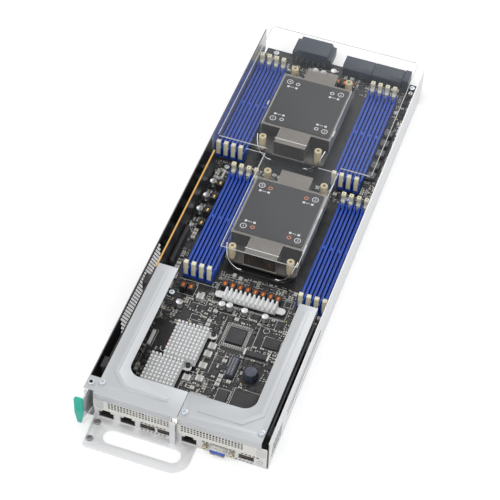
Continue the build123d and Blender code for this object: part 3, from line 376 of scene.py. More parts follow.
choose_faces(tray, lambda centre, normal: abs(centre.x - tray_width / 2) > tray_width / 2 - bend
             and centre.y - centre.z > tray_length - 13)
bpy.ops.mesh.delete(type="FACE")
choose_edges(tray, lambda a, b: (
    min(a.y, b.y) > tray_length - 0.1 and max(a.z, b.z) < 0.1 and abs(a.x - b.x) > 50))
draw_out(0, 8, 0)
bpy.ops.object.mode_set(mode="OBJECT")
wall = tray.modifiers.new("sheet", "SOLIDIFY")
wall.thickness = sheet * mm
wall.offset = -1
bpy.ops.object.modifier_apply(modifier=wall.name)

choose_faces(tray, lambda centre, normal: abs(normal.x) > 0.9 and centre.x < bend)
split((0, 332, 0), (0, 1, 0))
punch(tray, [bar("mesh_recess", (-1, 84.0, 6.0), (0.66, 190.0, 36.0))])
mesh_tools = []
mesh_pitch, mesh_rise, louvre_pitch, diamond_pitch = 3.7, 3.15, 4.6, 2.9
for column in range(27):
    for row in range(9):
        y, z = 86.6 + (column + 0.5 * (row % 2)) * mesh_pitch, 7.0 + row * mesh_rise
        slot_tool = bar("slot_tool", (-1, y, z), (2, y + 3.05, z + 2.65))
        choose_top(slot_tool)
        move_by(0, -0.9, 0)
        lay_down()
        mesh_tools.append(slot_tool)
for step in range(6):
    y = 8.0 + step * louvre_pitch
    slot_tool = bar("slot_tool", (tray_width - 2, y, 8.0), (tray_width + 1, y + 2.2, 24.0))
    choose_top(slot_tool)
    move_by(0, louvre_pitch, 0)
    lay_down()
    mesh_tools.append(slot_tool)
for column in range(34):
    for row in range(3):
        y, z = 52 + (column + 0.5 * (row % 2)) * diamond_pitch, 15.4 + row * 3.1
        mesh_tools.append(rod("diamond_tool", 4, 1.25, 3, (tray_width - 0.5, y, z), (0, math.pi / 2, 0)))
punch(tray, mesh_tools)
bpy.ops.object.shade_smooth_by_angle(angle=math.radians(35))
lay_down()
coat(tray, galvanised)
# The left wall's inner face is coloured near black.
paint(tray, left_wall_inner_black, lambda centre: 0.9 < centre.x < 1.1 and centre.y < 331 and centre.z > 2)
# Faces inside the walls' thickness, round the punched holes and in the mesh recess, are painted dark as shade
# in the holes.
paint(tray, hole_wall_shade, lambda centre: 0.1 < centre.x < 0.9 and centre.z > 5 or (
    tray_width - 0.9 < centre.x < tray_width - 0.1 and 5 < centre.z < 30 and centre.y < 160))
fitted(tray, None, "tray")

board_screw_places = [
    (25.2, 153.3), (153.0, 152.0), (19.5, 325.1), (147.9, 326.1), (13.0, 501.0), (164.2, 501.0),
    (95.0, 28.0), (30.0, 28.0), (146.0, 28.0),
]
board_top = 6.6
boss = rod("pressed_boss", 24, 3, 3.9, (0, 0, 2.95))
choose_top(boss)
squeeze(0.75, 0.75)
lay_down()
bosses = [copy_to(boss, x, y) for x, y in board_screw_places]
bpy.data.objects.remove(boss)
fitted(joined("pressed_bosses", bosses), galvanised)


# The system board is black solder mask over copper. Traces and plated holes show faintly in it,
# white printing frames its parts, and zinc screws hold it down on the tray's bosses.
mask = finish("black_mask", (0.012, 0.012, 0.014), 0.42, 0.0, 0.3, 220.0, 0.02)


def etched(material):
    """Bundles of thin traces and clusters of plated holes in a board's mask."""
    tree = material.node_tree
    place = tree.nodes["stretch"].outputs[0]
    runs = shader(tree, "TexWave", {"Scale": 260.0, "Distortion": 3.0, "Vector": place},
                  bands_direction="DIAGONAL")
    patches = shader(tree, "TexNoise", {"Scale": 70.0, "Vector": place}).outputs["Fac"]
    where = shader(tree, "Math", {0: runs.outputs["Fac"], 1: patches}, operation="MULTIPLY")
    shown = shader(tree, "ValToRGB", {"Fac": where.outputs[0]})
    shown.color_ramp.elements[0].position = 0.42
    shown.color_ramp.elements[1].position = 0.5
    traces = shader(tree, "Mix", {
        "Factor": shown.outputs["Color"], "A": tree.nodes["tint"].outputs["Color"],
        "B": (0.05, 0.051, 0.054, 1.0)}, data_type="RGBA")
    holes = shader(tree, "TexVoronoi", {"Scale": 460.0, "Vector": place})
    small = shader(tree, "Math", {0: holes.outputs["Distance"], 1: 0.16}, operation="LESS_THAN")
    clusters = shader(tree, "Math", {0: patches, 1: 0.52}, operation="GREATER_THAN")
    plated = shader(tree, "Math", {0: small.outputs[0], 1: clusters.outputs[0]}, operation="MULTIPLY")
    etching = shader(tree, "Mix", {
        "Factor": plated.outputs[0], "A": traces.outputs["Result"],
        "B": (0.15, 0.14, 0.115, 1.0)}, data_type="RGBA")
    feed(tree, tree.nodes["Principled BSDF"], {"Base Color": etching.outputs["Result"]})


def recoat(name, material):
    """Give a CAD node that stays as it is another finish."""
    node[name].data.materials.clear()
    node[name].data.materials.append(material)


etched(mask)
recoat("motherboard", mask)

print_white = finish("white_print", (0.78, 0.78, 0.76), 0.6, 0.0, 0.04, 400.0)


def printed_frame(x_low, y_low, x_high, y_high):
    """A printed outline: a thin plate with its middle taken out."""
    lay_down()
    low, high = at(x_low, y_low, 0), at(x_high, y_high, 0)
    middle, size = (low + high) / 2, high - low
    bpy.ops.mesh.primitive_plane_add(size=1, location=(middle.x, middle.y, (board_top + 0.03) * mm))
    plate = settle("printed_frame")
    choose_faces(plate, lambda centre, normal: True)
    bpy.ops.transform.resize(value=(size.x, size.y, 1), center_override=middle)
    inset(printed_line)
    bpy.ops.mesh.delete(type="FACE")
    lay_down()
    return plate


printed_line = 0.35
frames = [printed_frame(*box) for box in (
    (44, 72.5, 80.5, 119), (34.5, 31.5, 70.5, 73.5), (64, 158, 137, 182), (89.6, 112.6, 111.2, 137.4),
    (104, 74.5, 115, 101), (119.5, 46.5, 145, 70), (105, 45.5, 117.5, 64.5), (126, 120.4, 144, 135.6),
    (113.6, 104, 138.4, 114), (30, 156, 46, 170), (71, 147.5, 88.5, 157), (95, 147.5, 103.4, 156.6),
    (115.4, 147.5, 123.8, 156.6), (24, 122, 31.5, 133), (90, 90, 99, 98.6), (69, 123.5, 79, 133),
    (52, 121, 66, 128), (52, 130, 66, 137), (48, 140, 60, 150), (100, 36, 118, 43), (76, 60, 90, 70),
    (146, 140, 158, 147), (146, 118, 158, 134), (80, 24, 102, 30), (148, 60, 158, 100),
    (56, 474, 77, 496), (84, 472, 108, 490), (60, 317.5, 75, 323), (98, 317, 112, 322),
    (120, 330, 126, 333.6), (37, 318, 54, 333), (9.5, 170, 14, 182), (130.5, 174.5, 139.5, 183.5),
    (131.5, 186, 138.5, 195), (58.3, 173.8, 63.6, 179.6), (91, 114.2, 110, 136.2), (88, 111, 112.6, 139),
    (81, 76, 90, 110), (71.5, 59.5, 78.5, 67), (50, 153, 57, 158), (119, 145, 131, 157),
    (93, 61, 99, 70), (24.6, 84.5, 30.2, 107),
)]
for line_at in (
    (69.5, 184.0, 137.0, 184.5), (64.0, 157.0, 137.0, 157.4), (25.5, 173.6, 57.5, 174.0),
    (60.6, 136.0, 61.0, 156.0), (84.6, 100.0, 85.0, 146.0), (118.0, 116.0, 118.4, 146.0),
    (45.5, 141.0, 45.9, 172.0), (100.0, 48.0, 100.4, 72.0), (62.0, 187.6, 92.0, 188.0),
    (96.0, 187.6, 110.0, 188.0), (62.0, 190.6, 92.0, 191.0), (112.0, 186.2, 128.0, 186.6),
    (112.0, 190.2, 128.0, 190.6), (66.0, 193.4, 128.0, 193.7), (24.6, 320.0, 36.0, 320.4),
    (9.2, 240.0, 9.6, 300.0),
):
    frames.append(bar("printed_line", (*line_at[:2], board_top), (*line_at[2:], board_top + 0.05)))
fitted(joined("board_printing", frames), print_white)

zinc = finish("zinc_plate", (0.60, 0.64, 0.68), 0.26, 1.0, 0.05, 300.0)


def screw(name, radius, height, lobes):
    """A screw head at the tray's corner, with a rounded rim and a driven recess of this many lobes."""
    head = rod(name, 36, radius, height, (0, 0, height / 2))
    choose_top(head)
    round_off(0.45, 3)
    choose_faces(head, lambda centre, normal: normal.z > 0.999)
    inset(radius * 0.28)
    inset(0.02)
    bpy.ops.object.mode_set(mode="OBJECT")
    rim = max((face for face in head.data.polygons if face.normal.z > 0.999),
              key=lambda face: len(face.vertices))
    for index in rim.vertices:
        corner = head.data.vertices[index]
        offset = corner.co - corner_of_tray
        if math.cos(lobes * math.atan2(offset.y, offset.x)) < 0.1:
            offset.x, offset.y = offset.x * 0.58, offset.y * 0.58
            corner.co = corner_of_tray + offset
    choose_faces(head, lambda centre, normal: normal.z > 0.999 and centre.xy.length < 0.05)
    draw_out(0, 0, -0.6 * height)
    take(head)
    bpy.ops.object.shade_smooth_by_angle(angle=math.radians(35))
    return head


board_screw = screw("board_screw", 3.0, 1.8, 4)
turns = random.Random(7)
heads = [copy_to(board_screw, x, y, board_top, turns.uniform(0, 90)) for x, y in board_screw_places]
fitted(joined("board_screw_heads", heads), zinc, "board_screws")


# Small surface parts fill the open board: ceramic capacitors with silver ends, black resistors,
# little drivers with legs, inductors and gold pads, set in rows by a placing machine and soldered.
# A few moulded headers stand among them, and a plated ring lies round a screw hole.
ceramic = finish("ceramic_tan", (0.36, 0.335, 0.29), 0.5, 0.0, 0.2, 500.0)
dark_ceramic = finish("dark_ceramic", (0.035, 0.033, 0.032), 0.4, 0.0, 0.2, 500.0)
tin = finish("tin_ends", (0.62, 0.62, 0.60), 0.34, 0.6, 0.1, 600.0)
resin = finish("black_resin", (0.036, 0.036, 0.040), 0.5, 0.0, 0.15, 160.0, 0.12, 2600.0)
pale_core = finish("pale_core", (0.47, 0.46, 0.435), 0.5, 0.1, 0.08, 300.0)
shielded = finish("shielded_core", (0.15, 0.15, 0.155), 0.5, 0.1, 0.1, 300.0)
gold = finish("gold_flash", (0.80, 0.58, 0.24), 0.3, 0.9, 0.08, 300.0)


def chip_part(name, length, width, height, body, end):
    """A ceramic chip with metal ends, lying along x at the tray's corner."""
    part = bar(name, (-length / 2, -width / 2, board_top), (length / 2, width / 2, board_top + height))
    for side in (-1, 1):
        choose_faces(part, lambda centre, normal: True)
        split((side * length * 0.27, 0, 0), (1, 0, 0))
    lay_down()
    coat(part, body)
    paint(part, end, lambda centre: abs(centre.x) > length * 0.27)
    return part


def legged_part(name, length, width, height, legs):
    """A small driver in black resin, with a row of tinned legs along two sides."""
    part = bar(name, (-length / 2, -width / 2, board_top + 0.1), (length / 2, width / 2, board_top + height))
    coat(part, resin)
    pieces, reach = [part], width / 2 + 0.7
    for step in range(legs):
        x = (step + 0.5) * length / legs - length / 2
        leg = bar("leg", (x - 0.18, -reach, board_top), (x + 0.18, reach, board_top + 0.25))
        coat(leg, tin)
        pieces.append(leg)
    return joined(name, pieces)


def pad_part(name, size):
    part = bar(name, (-size / 2, -size / 2, board_top), (size / 2, size / 2, board_top + 0.06))
    coat(part, gold)
    return part


kinds = {
    # part, room along, room across, share of the row
    "capacitor": (chip_part("small_capacitor", 2.0, 1.1, 1.0, ceramic, tin), 2.5, 1.7, 8),
    "large_capacitor": (chip_part("large_capacitor", 3.2, 1.9, 1.7, ceramic, tin), 3.8, 2.5, 8),
    "resistor": (chip_part("resistor", 1.8, 1.0, 0.5, dark_ceramic, tin), 2.3, 1.6, 7),
    "array": (chip_part("resistor_array", 3.2, 1.4, 0.6, dark_ceramic, tin), 3.8, 2.2, 5),
    "driver": (legged_part("driver", 3.4, 2.4, 1.1, 4), 5.0, 4.6, 6),
    "regulator": (legged_part("regulator", 5.2, 4.2, 1.2, 6), 7.0, 6.8, 5),
    "inductor": (chip_part("inductor", 4.0, 3.6, 2.6, pale_core, tin), 5.2, 4.6, 5),
    "pad": (pad_part("gold_pad", 1.0), 1.7, 1.7, 3),
    "pair": (chip_part("tantalum", 3.4, 2.6, 1.8, gold, tin), 4.4, 3.4, 0.6),
}
set_parts = [("large_inductor", x, y, 0) for x, y in (
    (84, 105.3), (83.2, 95.5), (83.4, 81.5), (74.1, 63.3), (53, 157), (85.5, 66.5))]
set_parts += [("drive_inductor", 160.2, y, 0) for y in (364, 379, 397, 412, 427)]
set_parts += [("capacitor", 92.4 + step * 2.05, y, 90) for step in range(9) for y in (112.6, 138.0)]
set_parts += [("capacitor", x, 117.0 + step * 2.05, 0) for step in range(9) for x in (89.3, 111.8)]
set_parts += [("large_capacitor", x, 147.6, 0) for x in (91, 107, 111.4)]
set_parts += [("regulator", 74, 128, 0), ("regulator", 95.4, 94, 90)]
set_parts += [("large_capacitor", x, y, 90) for x in (13.2, 16.4) for y in (247.5, 267.5, 287, 307.5)]
set_parts += [("driver", 21.6, y, 90) for y in (250.8, 269.5, 288.5)]
set_parts += [("inductor", 13.4, 239.5, 0), ("inductor", 14.2, 317, 90)]
models = {name: kind[0] for name, kind in kinds.items()}
models["large_inductor"] = chip_part("large_inductor", 7.2, 6.6, 3.0, pale_core, tin)
models["drive_inductor"] = chip_part("drive_inductor", 8.4, 8.0, 3.4, shielded, shielded)
kept_clear = [
    (0, 0, 23, 23), (10, 0, 51, 24), (52, 0, 86, 20), (90, 0, 110, 24), (112, 0, 162, 22),
    (162, 0, 175, 22), (45, 74, 78, 117), (35, 33, 69, 75), (76, 112, 86, 121), (66, 70, 76, 79),
    (38, 81, 48, 90), (28, 39, 38, 48), (64, 159, 137, 183), (30, 157, 46, 168), (106, 76, 114, 100.5),
    (114.5, 105, 137.5, 113), (121, 78, 136.5, 93.5), (91.5, 115, 109.5, 135.8), (106, 46, 116.5, 64),
    (120.5, 48, 143.5, 68), (127.5, 121.5, 142.5, 134.5), (72.5, 148, 88, 157), (95.5, 148, 103, 156),
    (116, 148, 123.4, 156), (34, 136.5, 41.6, 144), (8, 0, 21, 122), (9.5, 183, 15.5, 233),
    (24.8, 174, 59, 318.5), (60, 197, 132.8, 322), (142, 174, 175, 318.5), (0, 334, 34.5, 478),
    (34.5, 334, 124, 470), (123.5, 334, 156, 478), (155, 358, 166.5, 433), (24, 88, 44, 118),
    (112, 121, 125, 132), (42, 132, 60, 137), (79.8, 77.5, 87.8, 109.5), (70, 59.4, 78.4, 67.2),
    (49, 153.2, 57, 158), (81.2, 62.6, 89.4, 70.4), (48, 165, 58, 178), (81, 46, 101, 51),
    (119.5, 136, 130.5, 146), (89, 107, 113.5, 111.5), (87.6, 111, 113, 139.6), (30, 492, 76, 524),
    (86, 494, 162, 524), (11, 254, 18.2, 301), (18.8, 237, 26, 303), (58.5, 480.5, 74.5, 488.5),
    (77, 486.5, 84.2, 494.5), (84.8, 474, 107.6, 484), (163, 0, 175, 145),
]
kept_clear += [(x - 4, y - 4, x + 4, y + 4) for x, y in board_screw_places]
placing = random.Random(20)
placed = {name: [] for name in models}


def free(low_x, low_y, high_x, high_y):
    return not any(low_x < x1 and high_x > x0 and low_y < y1 and high_y > y0 for x0, y0, x1, y1 in kept_clear)


for x_low, y_low, x_high, y_high in (
    (22, 22, 163, 158), (47, 158, 66, 184), (138, 150, 172, 174), (2.5, 124, 24, 334),
    (36, 318, 172, 334), (34.5, 336, 40, 476), (114.5, 336, 124, 476), (156, 336, 173, 500),
    (3, 479, 172, 500), (24, 156, 47, 174), (59, 317, 142, 336), (61, 184.4, 141, 196.6),
):
    y = y_low
    while y < y_high:
        x = x_low
        while x < x_high:
            name = placing.choices(list(kinds), [kind[3] for kind in kinds.values()])[0]
            part, length, width, share = kinds[name]
            upright = placing.random() < 0.5
            wide, deep = (width, length) if upright else (length, width)
            for repeat in range(placing.choice((1, 2, 3, 4)) if share > 4 else 1):
                step_x, step_y = (repeat * (wide + 0.2), 0) if upright else (0, repeat * (deep + 0.2))
                low = (x + step_x, y + step_y)
                high = (low[0] + wide, low[1] + deep)
                if high[0] < x_high and high[1] < y_high and free(*low, *high) and placing.random() < 0.93:
                    kept_clear.append(low + high)
                    middle = ((low[0] + high[0]) / 2, (low[1] + high[1]) / 2)
                    placed[name].append(copy_to(part, *middle, 0, 90 if upright else 0))
            x += placing.uniform(1.4, 3.0)
        y += placing.uniform(1.6, 2.6)
for name, x, y, turn in set_parts:
    placed[name].append(copy_to(models[name], x, y, 0, turn))
for name, copies in placed.items():
    bpy.data.objects.remove(models[name])
    fitted(joined("placed_" + name + "s", copies), None)
red_mark = finish("red_header", (0.45, 0.03, 0.03), 0.4, 0.0, 0.08, 200.0)
for name, low, high, edge, colour in (
    ("edge_header", (11.7, 227.0), (13.5, 239.0, 11.0), 0.3, print_white),
    ("edge_header", (19.6, 306.0), (21.4, 318.0, 11.0), 0.3, print_white),
    ("white_header", (25.6, 87.3), (28.6, 104.3, 9.4), 0.4, print_white),
    ("red_header", (43.6, 89.6), (44.8, 106.6, 10.2), 0.3, red_mark),
    ("grey_header", (82.5, 47.0), (99.8, 50.0, 9.6), 0.4, pale_core),
):
    fitted(break_edges(bar(name, (*low, board_top), high), edge), colour)
lay_down()
bpy.ops.mesh.primitive_torus_add(major_radius=2.9 * mm, minor_radius=0.32 * mm, major_segments=32,
                                 minor_segments=8, location=at(125, 141, board_top + 0.2))
fitted(settle("plated_ring"), tin)


# Board parts with places of their own: moulded chips, ferrite chokes whose copper top is painted as a
# dark shaded ring round a bright painted highlight, aluminium capacitor cans on square feet, and the black
# sockets for a drive and a mezzanine card.
def dressed(name, edge, steps=2):
    """A copy of a CAD node with its flat faces merged and its edges broken."""
    lay_down()
    piece = node[name].copy()
    piece.data = node[name].data.copy()
    piece.name = name + "_finished"
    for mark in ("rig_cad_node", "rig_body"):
        if mark in piece:
            del piece[mark]
    piece.parent = None
    bpy.context.scene.collection.objects.link(piece)
    take(piece)
    bpy.ops.object.mode_set(mode="EDIT")
    bpy.ops.mesh.select_all(action="SELECT")
    bpy.ops.mesh.remove_doubles(threshold=0.000002)
    bpy.ops.mesh.dissolve_limited(angle_limit=math.radians(0.6))
    bpy.ops.object.mode_set(mode="OBJECT")
    piece.data.materials.clear()
    return break_edges(piece, edge, steps)


slate_light = finish("slate_cover", (0.085, 0.095, 0.135), 0.4, 0.0, 0.08, 90.0, 0.04)
for name in ("chips", "board_sockets"):
    piece = dressed(name, 0.2)
    choose_edges(piece, lambda a, b: all(
        121 < end.x < 136.5 and 78 < end.y < 93.5 and end.z > board_top + 2.5 for end in (a, b)))
    squeeze(0.8, 0.8, (128.7, 85.8, 10))
    lay_down()
    coat(piece, resin)
    paint(piece, slate_light, lambda centre: 121 < centre.x < 136.5 and 78 < centre.y < 93.5)
    if name == "board_sockets":
        paint(piece, slate_light, lambda centre: 105 < centre.x < 115 and 75 < centre.y < 102)
    fitted(piece, None, name)
contacts = []
for step in range(30):
    x = 116.6 + step * 0.64
    contacts.append(bar("drive_contact", (x, 104.6, board_top), (x + 0.34, 106.0, board_top + 0.4)))
for side in (-1, 1):
    for step in range(18):
        y = 78.6 + step * 1.1
        x = 109.8 + side * 1.5
        low, high = (x - 0.5, y, board_top + 3.0), (x + 0.5, y + 0.5, board_top + 5.6)
        contacts.append(bar("card_contact", low, high))
for x_low, x_high in ((113.9, 115.6), (136.5, 138.2)):
    contacts.append(bar("drive_socket_tab", (x_low, 105.0, board_top), (x_high, 112.6, board_top + 4.6)))
for contact in contacts:
    ease(contact, 0.08, 1, lambda a, b: min(a.z, b.z) > board_top + 0.3 and abs(a.x - b.x) > 0.1)
fitted(joined("socket_contacts", contacts), tin)

ferrite = finish("ferrite", (0.03, 0.028, 0.028), 0.55, 0.0, 0.2, 400.0, 0.2, 2000.0)
copper_highlight = finish("copper_highlight", (1.0, 0.25, 0.03), 0.3, 0.0, 0.2, 260.0)
copper_shade = finish("copper_shade", (0.26, 0.075, 0.03), 0.4, 0.3, 0.3, 300.0)
choke_pitch = 7.63
choke_places = [(70.6 + step * choke_pitch, 177.5) for step in range(8)] + [(33.8, 162.5), (41.6, 162.5)]
choke_places += [(22.3, y) for y in (242, 260, 279, 298)]
choke_places += [(88.7 + step * choke_pitch, 479) for step in range(3)]
choke = bar("choke", (-3.1, -4, board_top), (3.1, 4, board_top + 6.6))
choose_top(choke)
inset(1.3)
draw_out(0, 0, -0.7)
inset(0.95)
draw_out(0, 0, 0.25)
choose_faces(choke, lambda centre, normal: normal.y < -0.9 and centre.y < -3.9)
inset(1.5)
draw_out(0, 0.5, 0)
break_edges(choke, 0.18)
coat(choke, ferrite)
# The copper top is painted with light and shade: a dark brown ring is shade and the bright orange middle is a
# highlight.
for colour, half_x, half_y in ((copper_shade, 2.0, 2.9), (copper_highlight, 0.9, 1.8)):
    paint(choke, colour, lambda centre: (
        abs(centre.x) < half_x and abs(centre.y) < half_y and centre.z > board_top + 5.5))
chokes = [copy_to(choke, x, y) for x, y in choke_places]
for piece, (x, y) in zip(chokes, choke_places):
    if x < 25:
        piece.data.materials[1] = ferrite
        piece.data.materials[2] = gold
bpy.data.objects.remove(choke)
fitted(joined("choke_row", chokes), None, "chokes")

can_metal = finish("can_metal", (0.66, 0.66, 0.66), 0.26, 0.85, 0.06, 200.0)
can_places = [(76.4, 152.2), (83.8, 153.0), (99.2, 151.8), (119.6, 151.8), (37.8, 140.2), (14.8, 258),
              (14.8, 277), (14.8, 297), (62.1, 484.5), (70.9, 484.5), (80.5, 490.5)]
can = rod("capacitor_can", 28, 3.2, 6.4, (0, 0, board_top + 4.4))
choose_faces(can, lambda centre, normal: abs(normal.z) < 0.1)
split((0, 0, board_top + 2.6), (0, 0, 1))
ease(can, 0.5, 2, lambda a, b: abs(a.z - b.z) < 0.01 and abs(a.z - board_top - 2.6) < 0.05)
choose_edges(can, lambda a, b: abs(a.z - b.z) < 0.01 and abs(a.z - board_top - 2.6) < 0.05)
squeeze(0.88, 0.88)
choose_faces(can, lambda centre, normal: normal.z > 0.9 and centre.z > board_top + 7)
inset(0.5)
draw_out(0, 0, -0.25)
break_edges(can, 0.2)
coat(can, can_metal)
foot = bar("can_foot", (-3.2, -3.2, board_top), (3.2, 3.2, board_top + 1.3))
ease(foot, 1.0, 1, lambda a, b: abs(a.z - b.z) > 1 and a.x > 3)
lay_down()
coat(foot, resin)
can = joined("capacitor_can", [can, foot])
cans = [copy_to(can, x, y, 0, 90 * (step % 3)) for step, (x, y) in enumerate(can_places)]
bpy.data.objects.remove(can)
fitted(joined("capacitor_cans", cans), None, "capacitors")


# The regulators' heatsink is a white anodised extrusion: a row of low fins on one plate, with an ear
# at each end that holds it to the board.
white_anodised = finish("white_anodised", (0.88, 0.885, 0.89), 0.45, 0.0, 0.02, 120.0, 0.05)
regulator_sink = dressed("regulator_heatsink", 0.35, 3)
choose_edges(regulator_sink, lambda a, b: min(a.z, b.z) > 20)
move_by(0, 0, -7.4)
fitted(regulator_sink, white_anodised, "regulator_heatsink")


# The two controllers carry cast pin heatsinks, finished white: a field of square pins on a plate,
# with ears that black push pins hold to the board.
plates = dressed("controller_heatsinks", 0.25)
choose_faces(plates, lambda centre, normal: True)
split((0, 0, 11.3), (0, 0, 1), use_fill=True, clear_outer=True)
cooling_pin = bar("cooling_pin", (-1.25, -1.4, 11.2), (1.25, 1.4, 20.2))
choose_top(cooling_pin)
squeeze(0.8, 0.8)
choose_top(cooling_pin)
round_off(0.12)
lay_down()
pins = [plates]
for x, y in ((62.0, 96.3), (52.3, 54.0)):
    web = bar("pin_web", (x - 15.2, y - 19.6, 11.0), (x + 15.2, y + 19.6, 14.6))
    pins.append(break_edges(web, 0.4))
    for column in range(9):
        for row in range(10):
            pins.append(copy_to(cooling_pin, x - 14.2 + column * 3.55, y - 18.6 + row * 4.13))
bpy.data.objects.remove(cooling_pin)
fitted(joined("controller_pin_sinks", pins), white_anodised, "controller_heatsinks")
push_pin = rod("push_pin", 24, 2.3, 3.4, (0, 0, 12.1))
choose_top(push_pin)
inset(0.9)
draw_out(0, 0, -1.2)
break_edges(push_pin, 0.3)
stem = rod("push_pin_stem", 16, 1.35, 3.9, (0, 0, 8.6))
choose_faces(stem, lambda centre, normal: normal.z < -0.9)
round_off(0.3, 2)
push_pin = joined("push_pin", [push_pin, stem])
pushed = [copy_to(push_pin, x, y) for x, y in ((81.0, 116.8), (43.0, 85.8), (71.3, 74.5), (33.3, 43.5))]
bpy.data.objects.remove(push_pin)
fitted(joined("push_pin_set", pushed), resin, "push_pins")


# Memory sockets are long blue mouldings with finely ribbed rails, the ribs drawn as painted shade stripes, a
# keyed groove filled with a near-black insert that stands for its contacts and is painted shade, and forked
# ends in which the ivory latches turn.
socket_blue = finish("socket_blue", (0.020, 0.10, 0.60), 0.38, 0.0, 0.05, 60.0, 0.03)
tree = socket_blue.node_tree
stretch = tree.nodes["stretch"]
stretch.inputs["Scale"].default_value = (1.0, 0.45, 0.0)
# The ribs are not modelled: dark and light stripes multiplied into the blue are painted shade.
ribs = shader(tree, "TexWave", {"Scale": 300.0, "Vector": stretch.outputs[0]}, bands_direction="DIAGONAL")
rib_shade = shader(tree, "ValToRGB", {"Fac": ribs.outputs["Fac"]})
rib_shade.color_ramp.elements[0].color = (0.55, 0.55, 0.6, 1.0)
rib_shade.color_ramp.elements[1].color = white
ribbed = shader(tree, "Mix", {
    "Factor": 1.0, "A": tree.nodes["tint"].outputs["Color"], "B": rib_shade.outputs["Color"]},
    data_type="RGBA", blend_type="MULTIPLY")
feed(tree, tree.nodes["Principled BSDF"], {"Base Color": ribbed.outputs["Result"]})
groove_contacts_and_shade = finish("groove_contacts_and_shade", (0.02, 0.018, 0.016), 0.4, 0.3, 0.1, 300.0)
socket_pitch, latch_to_latch = 7.88, 140.3
banks = {"near_left": (30.6, 176.0), "near_right": (145.69, 176.0),
         "far_left": (5.8, 335.8), "far_right": (127.94, 335.8)}
for bank, (first_x, bank_y) in banks.items():
    name = bank + "_memory_sockets"
    fitted(dressed(name, 0.22), socket_blue, name)
    # Each groove gets a near-black insert: painted shade in the deep groove, standing also for its contacts.
    shade_inserts = []
    for step in range(4):
        x = first_x + step * socket_pitch
        for start, end in ((8.0, 74.0), (78.4, 132.3)):
            low, high = (x - 0.74, bank_y + start, board_top + 2.6), (x + 0.74, bank_y + end, board_top + 6.2)
            shade_insert = bar("groove_shade_insert", low, high)
            choose_top(shade_insert)
            inset(0.25)
            draw_out(0, 0, -1.6)
            lay_down()
            shade_inserts.append(shade_insert)
    fitted(joined(bank + "_groove_shade_inserts", shade_inserts), groove_contacts_and_shade)

ivory = finish("ivory_latch", (0.89, 0.85, 0.64), 0.42, 0.0, 0.04, 150.0)
latch_shade = finish("latch_dimple_shade", (0.30, 0.19, 0.06), 0.6, 0.0, 0.1, 200.0)
for bank, (first_x, bank_y) in banks.items():
    for end in ("near", "far"):
        name = bank + "_latches_" + end
        latches = dressed(name, 0.35, 3)
        coat(latches, ivory)
        if end == "far":
            # A small dark brown patch on top of each far latch is painted shade in its dimple.
            dimples = []
            for step in range(4):
                x, y = first_x + step * socket_pitch, bank_y + latch_to_latch - 2.4
                dimple = bar("latch_dimple_shade", (x - 0.7, y - 0.8, 28.55), (x + 0.7, y + 0.6, 28.65))
                coat(dimple, latch_shade)
                choose_top(dimple)
                inset(0.15)
                lay_down()
                dimples.append(dimple)
            latches = joined(name + "_finished", [latches] + dimples)
        fitted(latches, None, name, name)


# Each processor sits under a stamped bolster plate, and under a heatsink of folded fins: a base painted
# dark as shade, with a bright strip on its near edge as a painted highlight, two copper heat pipes, zipped
# fins whose tops form a closed face, and a grey plate.
lid = finish("nickel_lid", (0.55, 0.55, 0.54), 0.32, 0.95, 0.05, 90.0)
recoat("processors", lid)
stamped = finish("stamped_plate", (0.10, 0.10, 0.10), 0.34, 0.85, 0.1, 120.0)
fitted(dressed("cpu_bolsters", 0.3), stamped, "cpu_bolsters")
copper = finish("copper_pipe", (0.86, 0.36, 0.16), 0.26, 1.0, 0.12, 90.0)
fitted(dressed("heat_pipes", 0.7, 3), copper, "heat_pipes")

fin_metal = finish("fin_metal", (0.30, 0.28, 0.258), 0.36, 0.7, 0.05, 60.0, 0.04)
shaded_base = finish("base_painted_shade", (0.105, 0.10, 0.095), 0.4, 0.6, 0.08, 80.0)
label_grey = finish("label_grey", (0.034, 0.034, 0.037), 0.5, 0.0, 0.04, 90.0, 0.03, 1800.0)
mark_white = finish("mark_white", (0.82, 0.82, 0.84), 0.6, 0.0, 0.03, 300.0)
mark_orange = finish("mark_orange", (0.75, 0.28, 0.14), 0.6, 0.0, 0.03, 300.0)
sink_places = {"cpu1": (96.29, 259.05), "cpu2": (76.24, 406.45)}
sink_low, base_top, sink_top = 15.0, 18.0, 36.0
half_sink, fin_pitch = 36.25, 1.42


def fin_row(name, width, y_start, y_end):
    """Folded fins across this width: one thin sheet with its top turned over, and its copies."""
    count = int(width / fin_pitch)
    fin = bar(name, (-0.15, y_start, base_top), (0.15, y_end, sink_top - 0.3))
    fold = bar("fin_fold", (-0.15, y_start, sink_top - 0.3), (fin_pitch - 0.58, y_end, sink_top))
    ease(fold, 0.12, 1, lambda a, b: min(a.z, b.z) > sink_top - 0.01 and min(a.x, b.x) > 0.5)
    fin = joined(name, [fin, fold])
    first = -(count - 1) * fin_pitch / 2
    fins = [copy_to(fin, first + step * fin_pitch) for step in range(count)]
    bpy.data.objects.remove(fin)
    return fins


def ring(x, y, z, radius, width):
    """A flat printed ring, cut from a thin disc."""
    disc = rod("printed_ring", 28, radius, 0.08, (x, y, z))
    choose_faces(disc, lambda centre, normal: abs(normal.z) > 0.9)
    inset(width)
    bpy.ops.mesh.delete(type="FACE")
    lay_down()
    return disc


def number(text, x, y, z, size):
    """A plain printed numeral, made a mesh before it is put in its place."""
    lay_down()
    bpy.ops.object.text_add(location=(0, 0, 0))
    words = bpy.context.object
    words.data.body = text
    words.data.size = size * mm
    words.data.align_x = "CENTER"
    words.data.align_y = "CENTER"
    bpy.ops.object.convert(target="MESH")
    words = bpy.context.object
    words.name = "printed_number"
    words.data.transform(Matrix.Translation(at(x, y, z)))
    return words


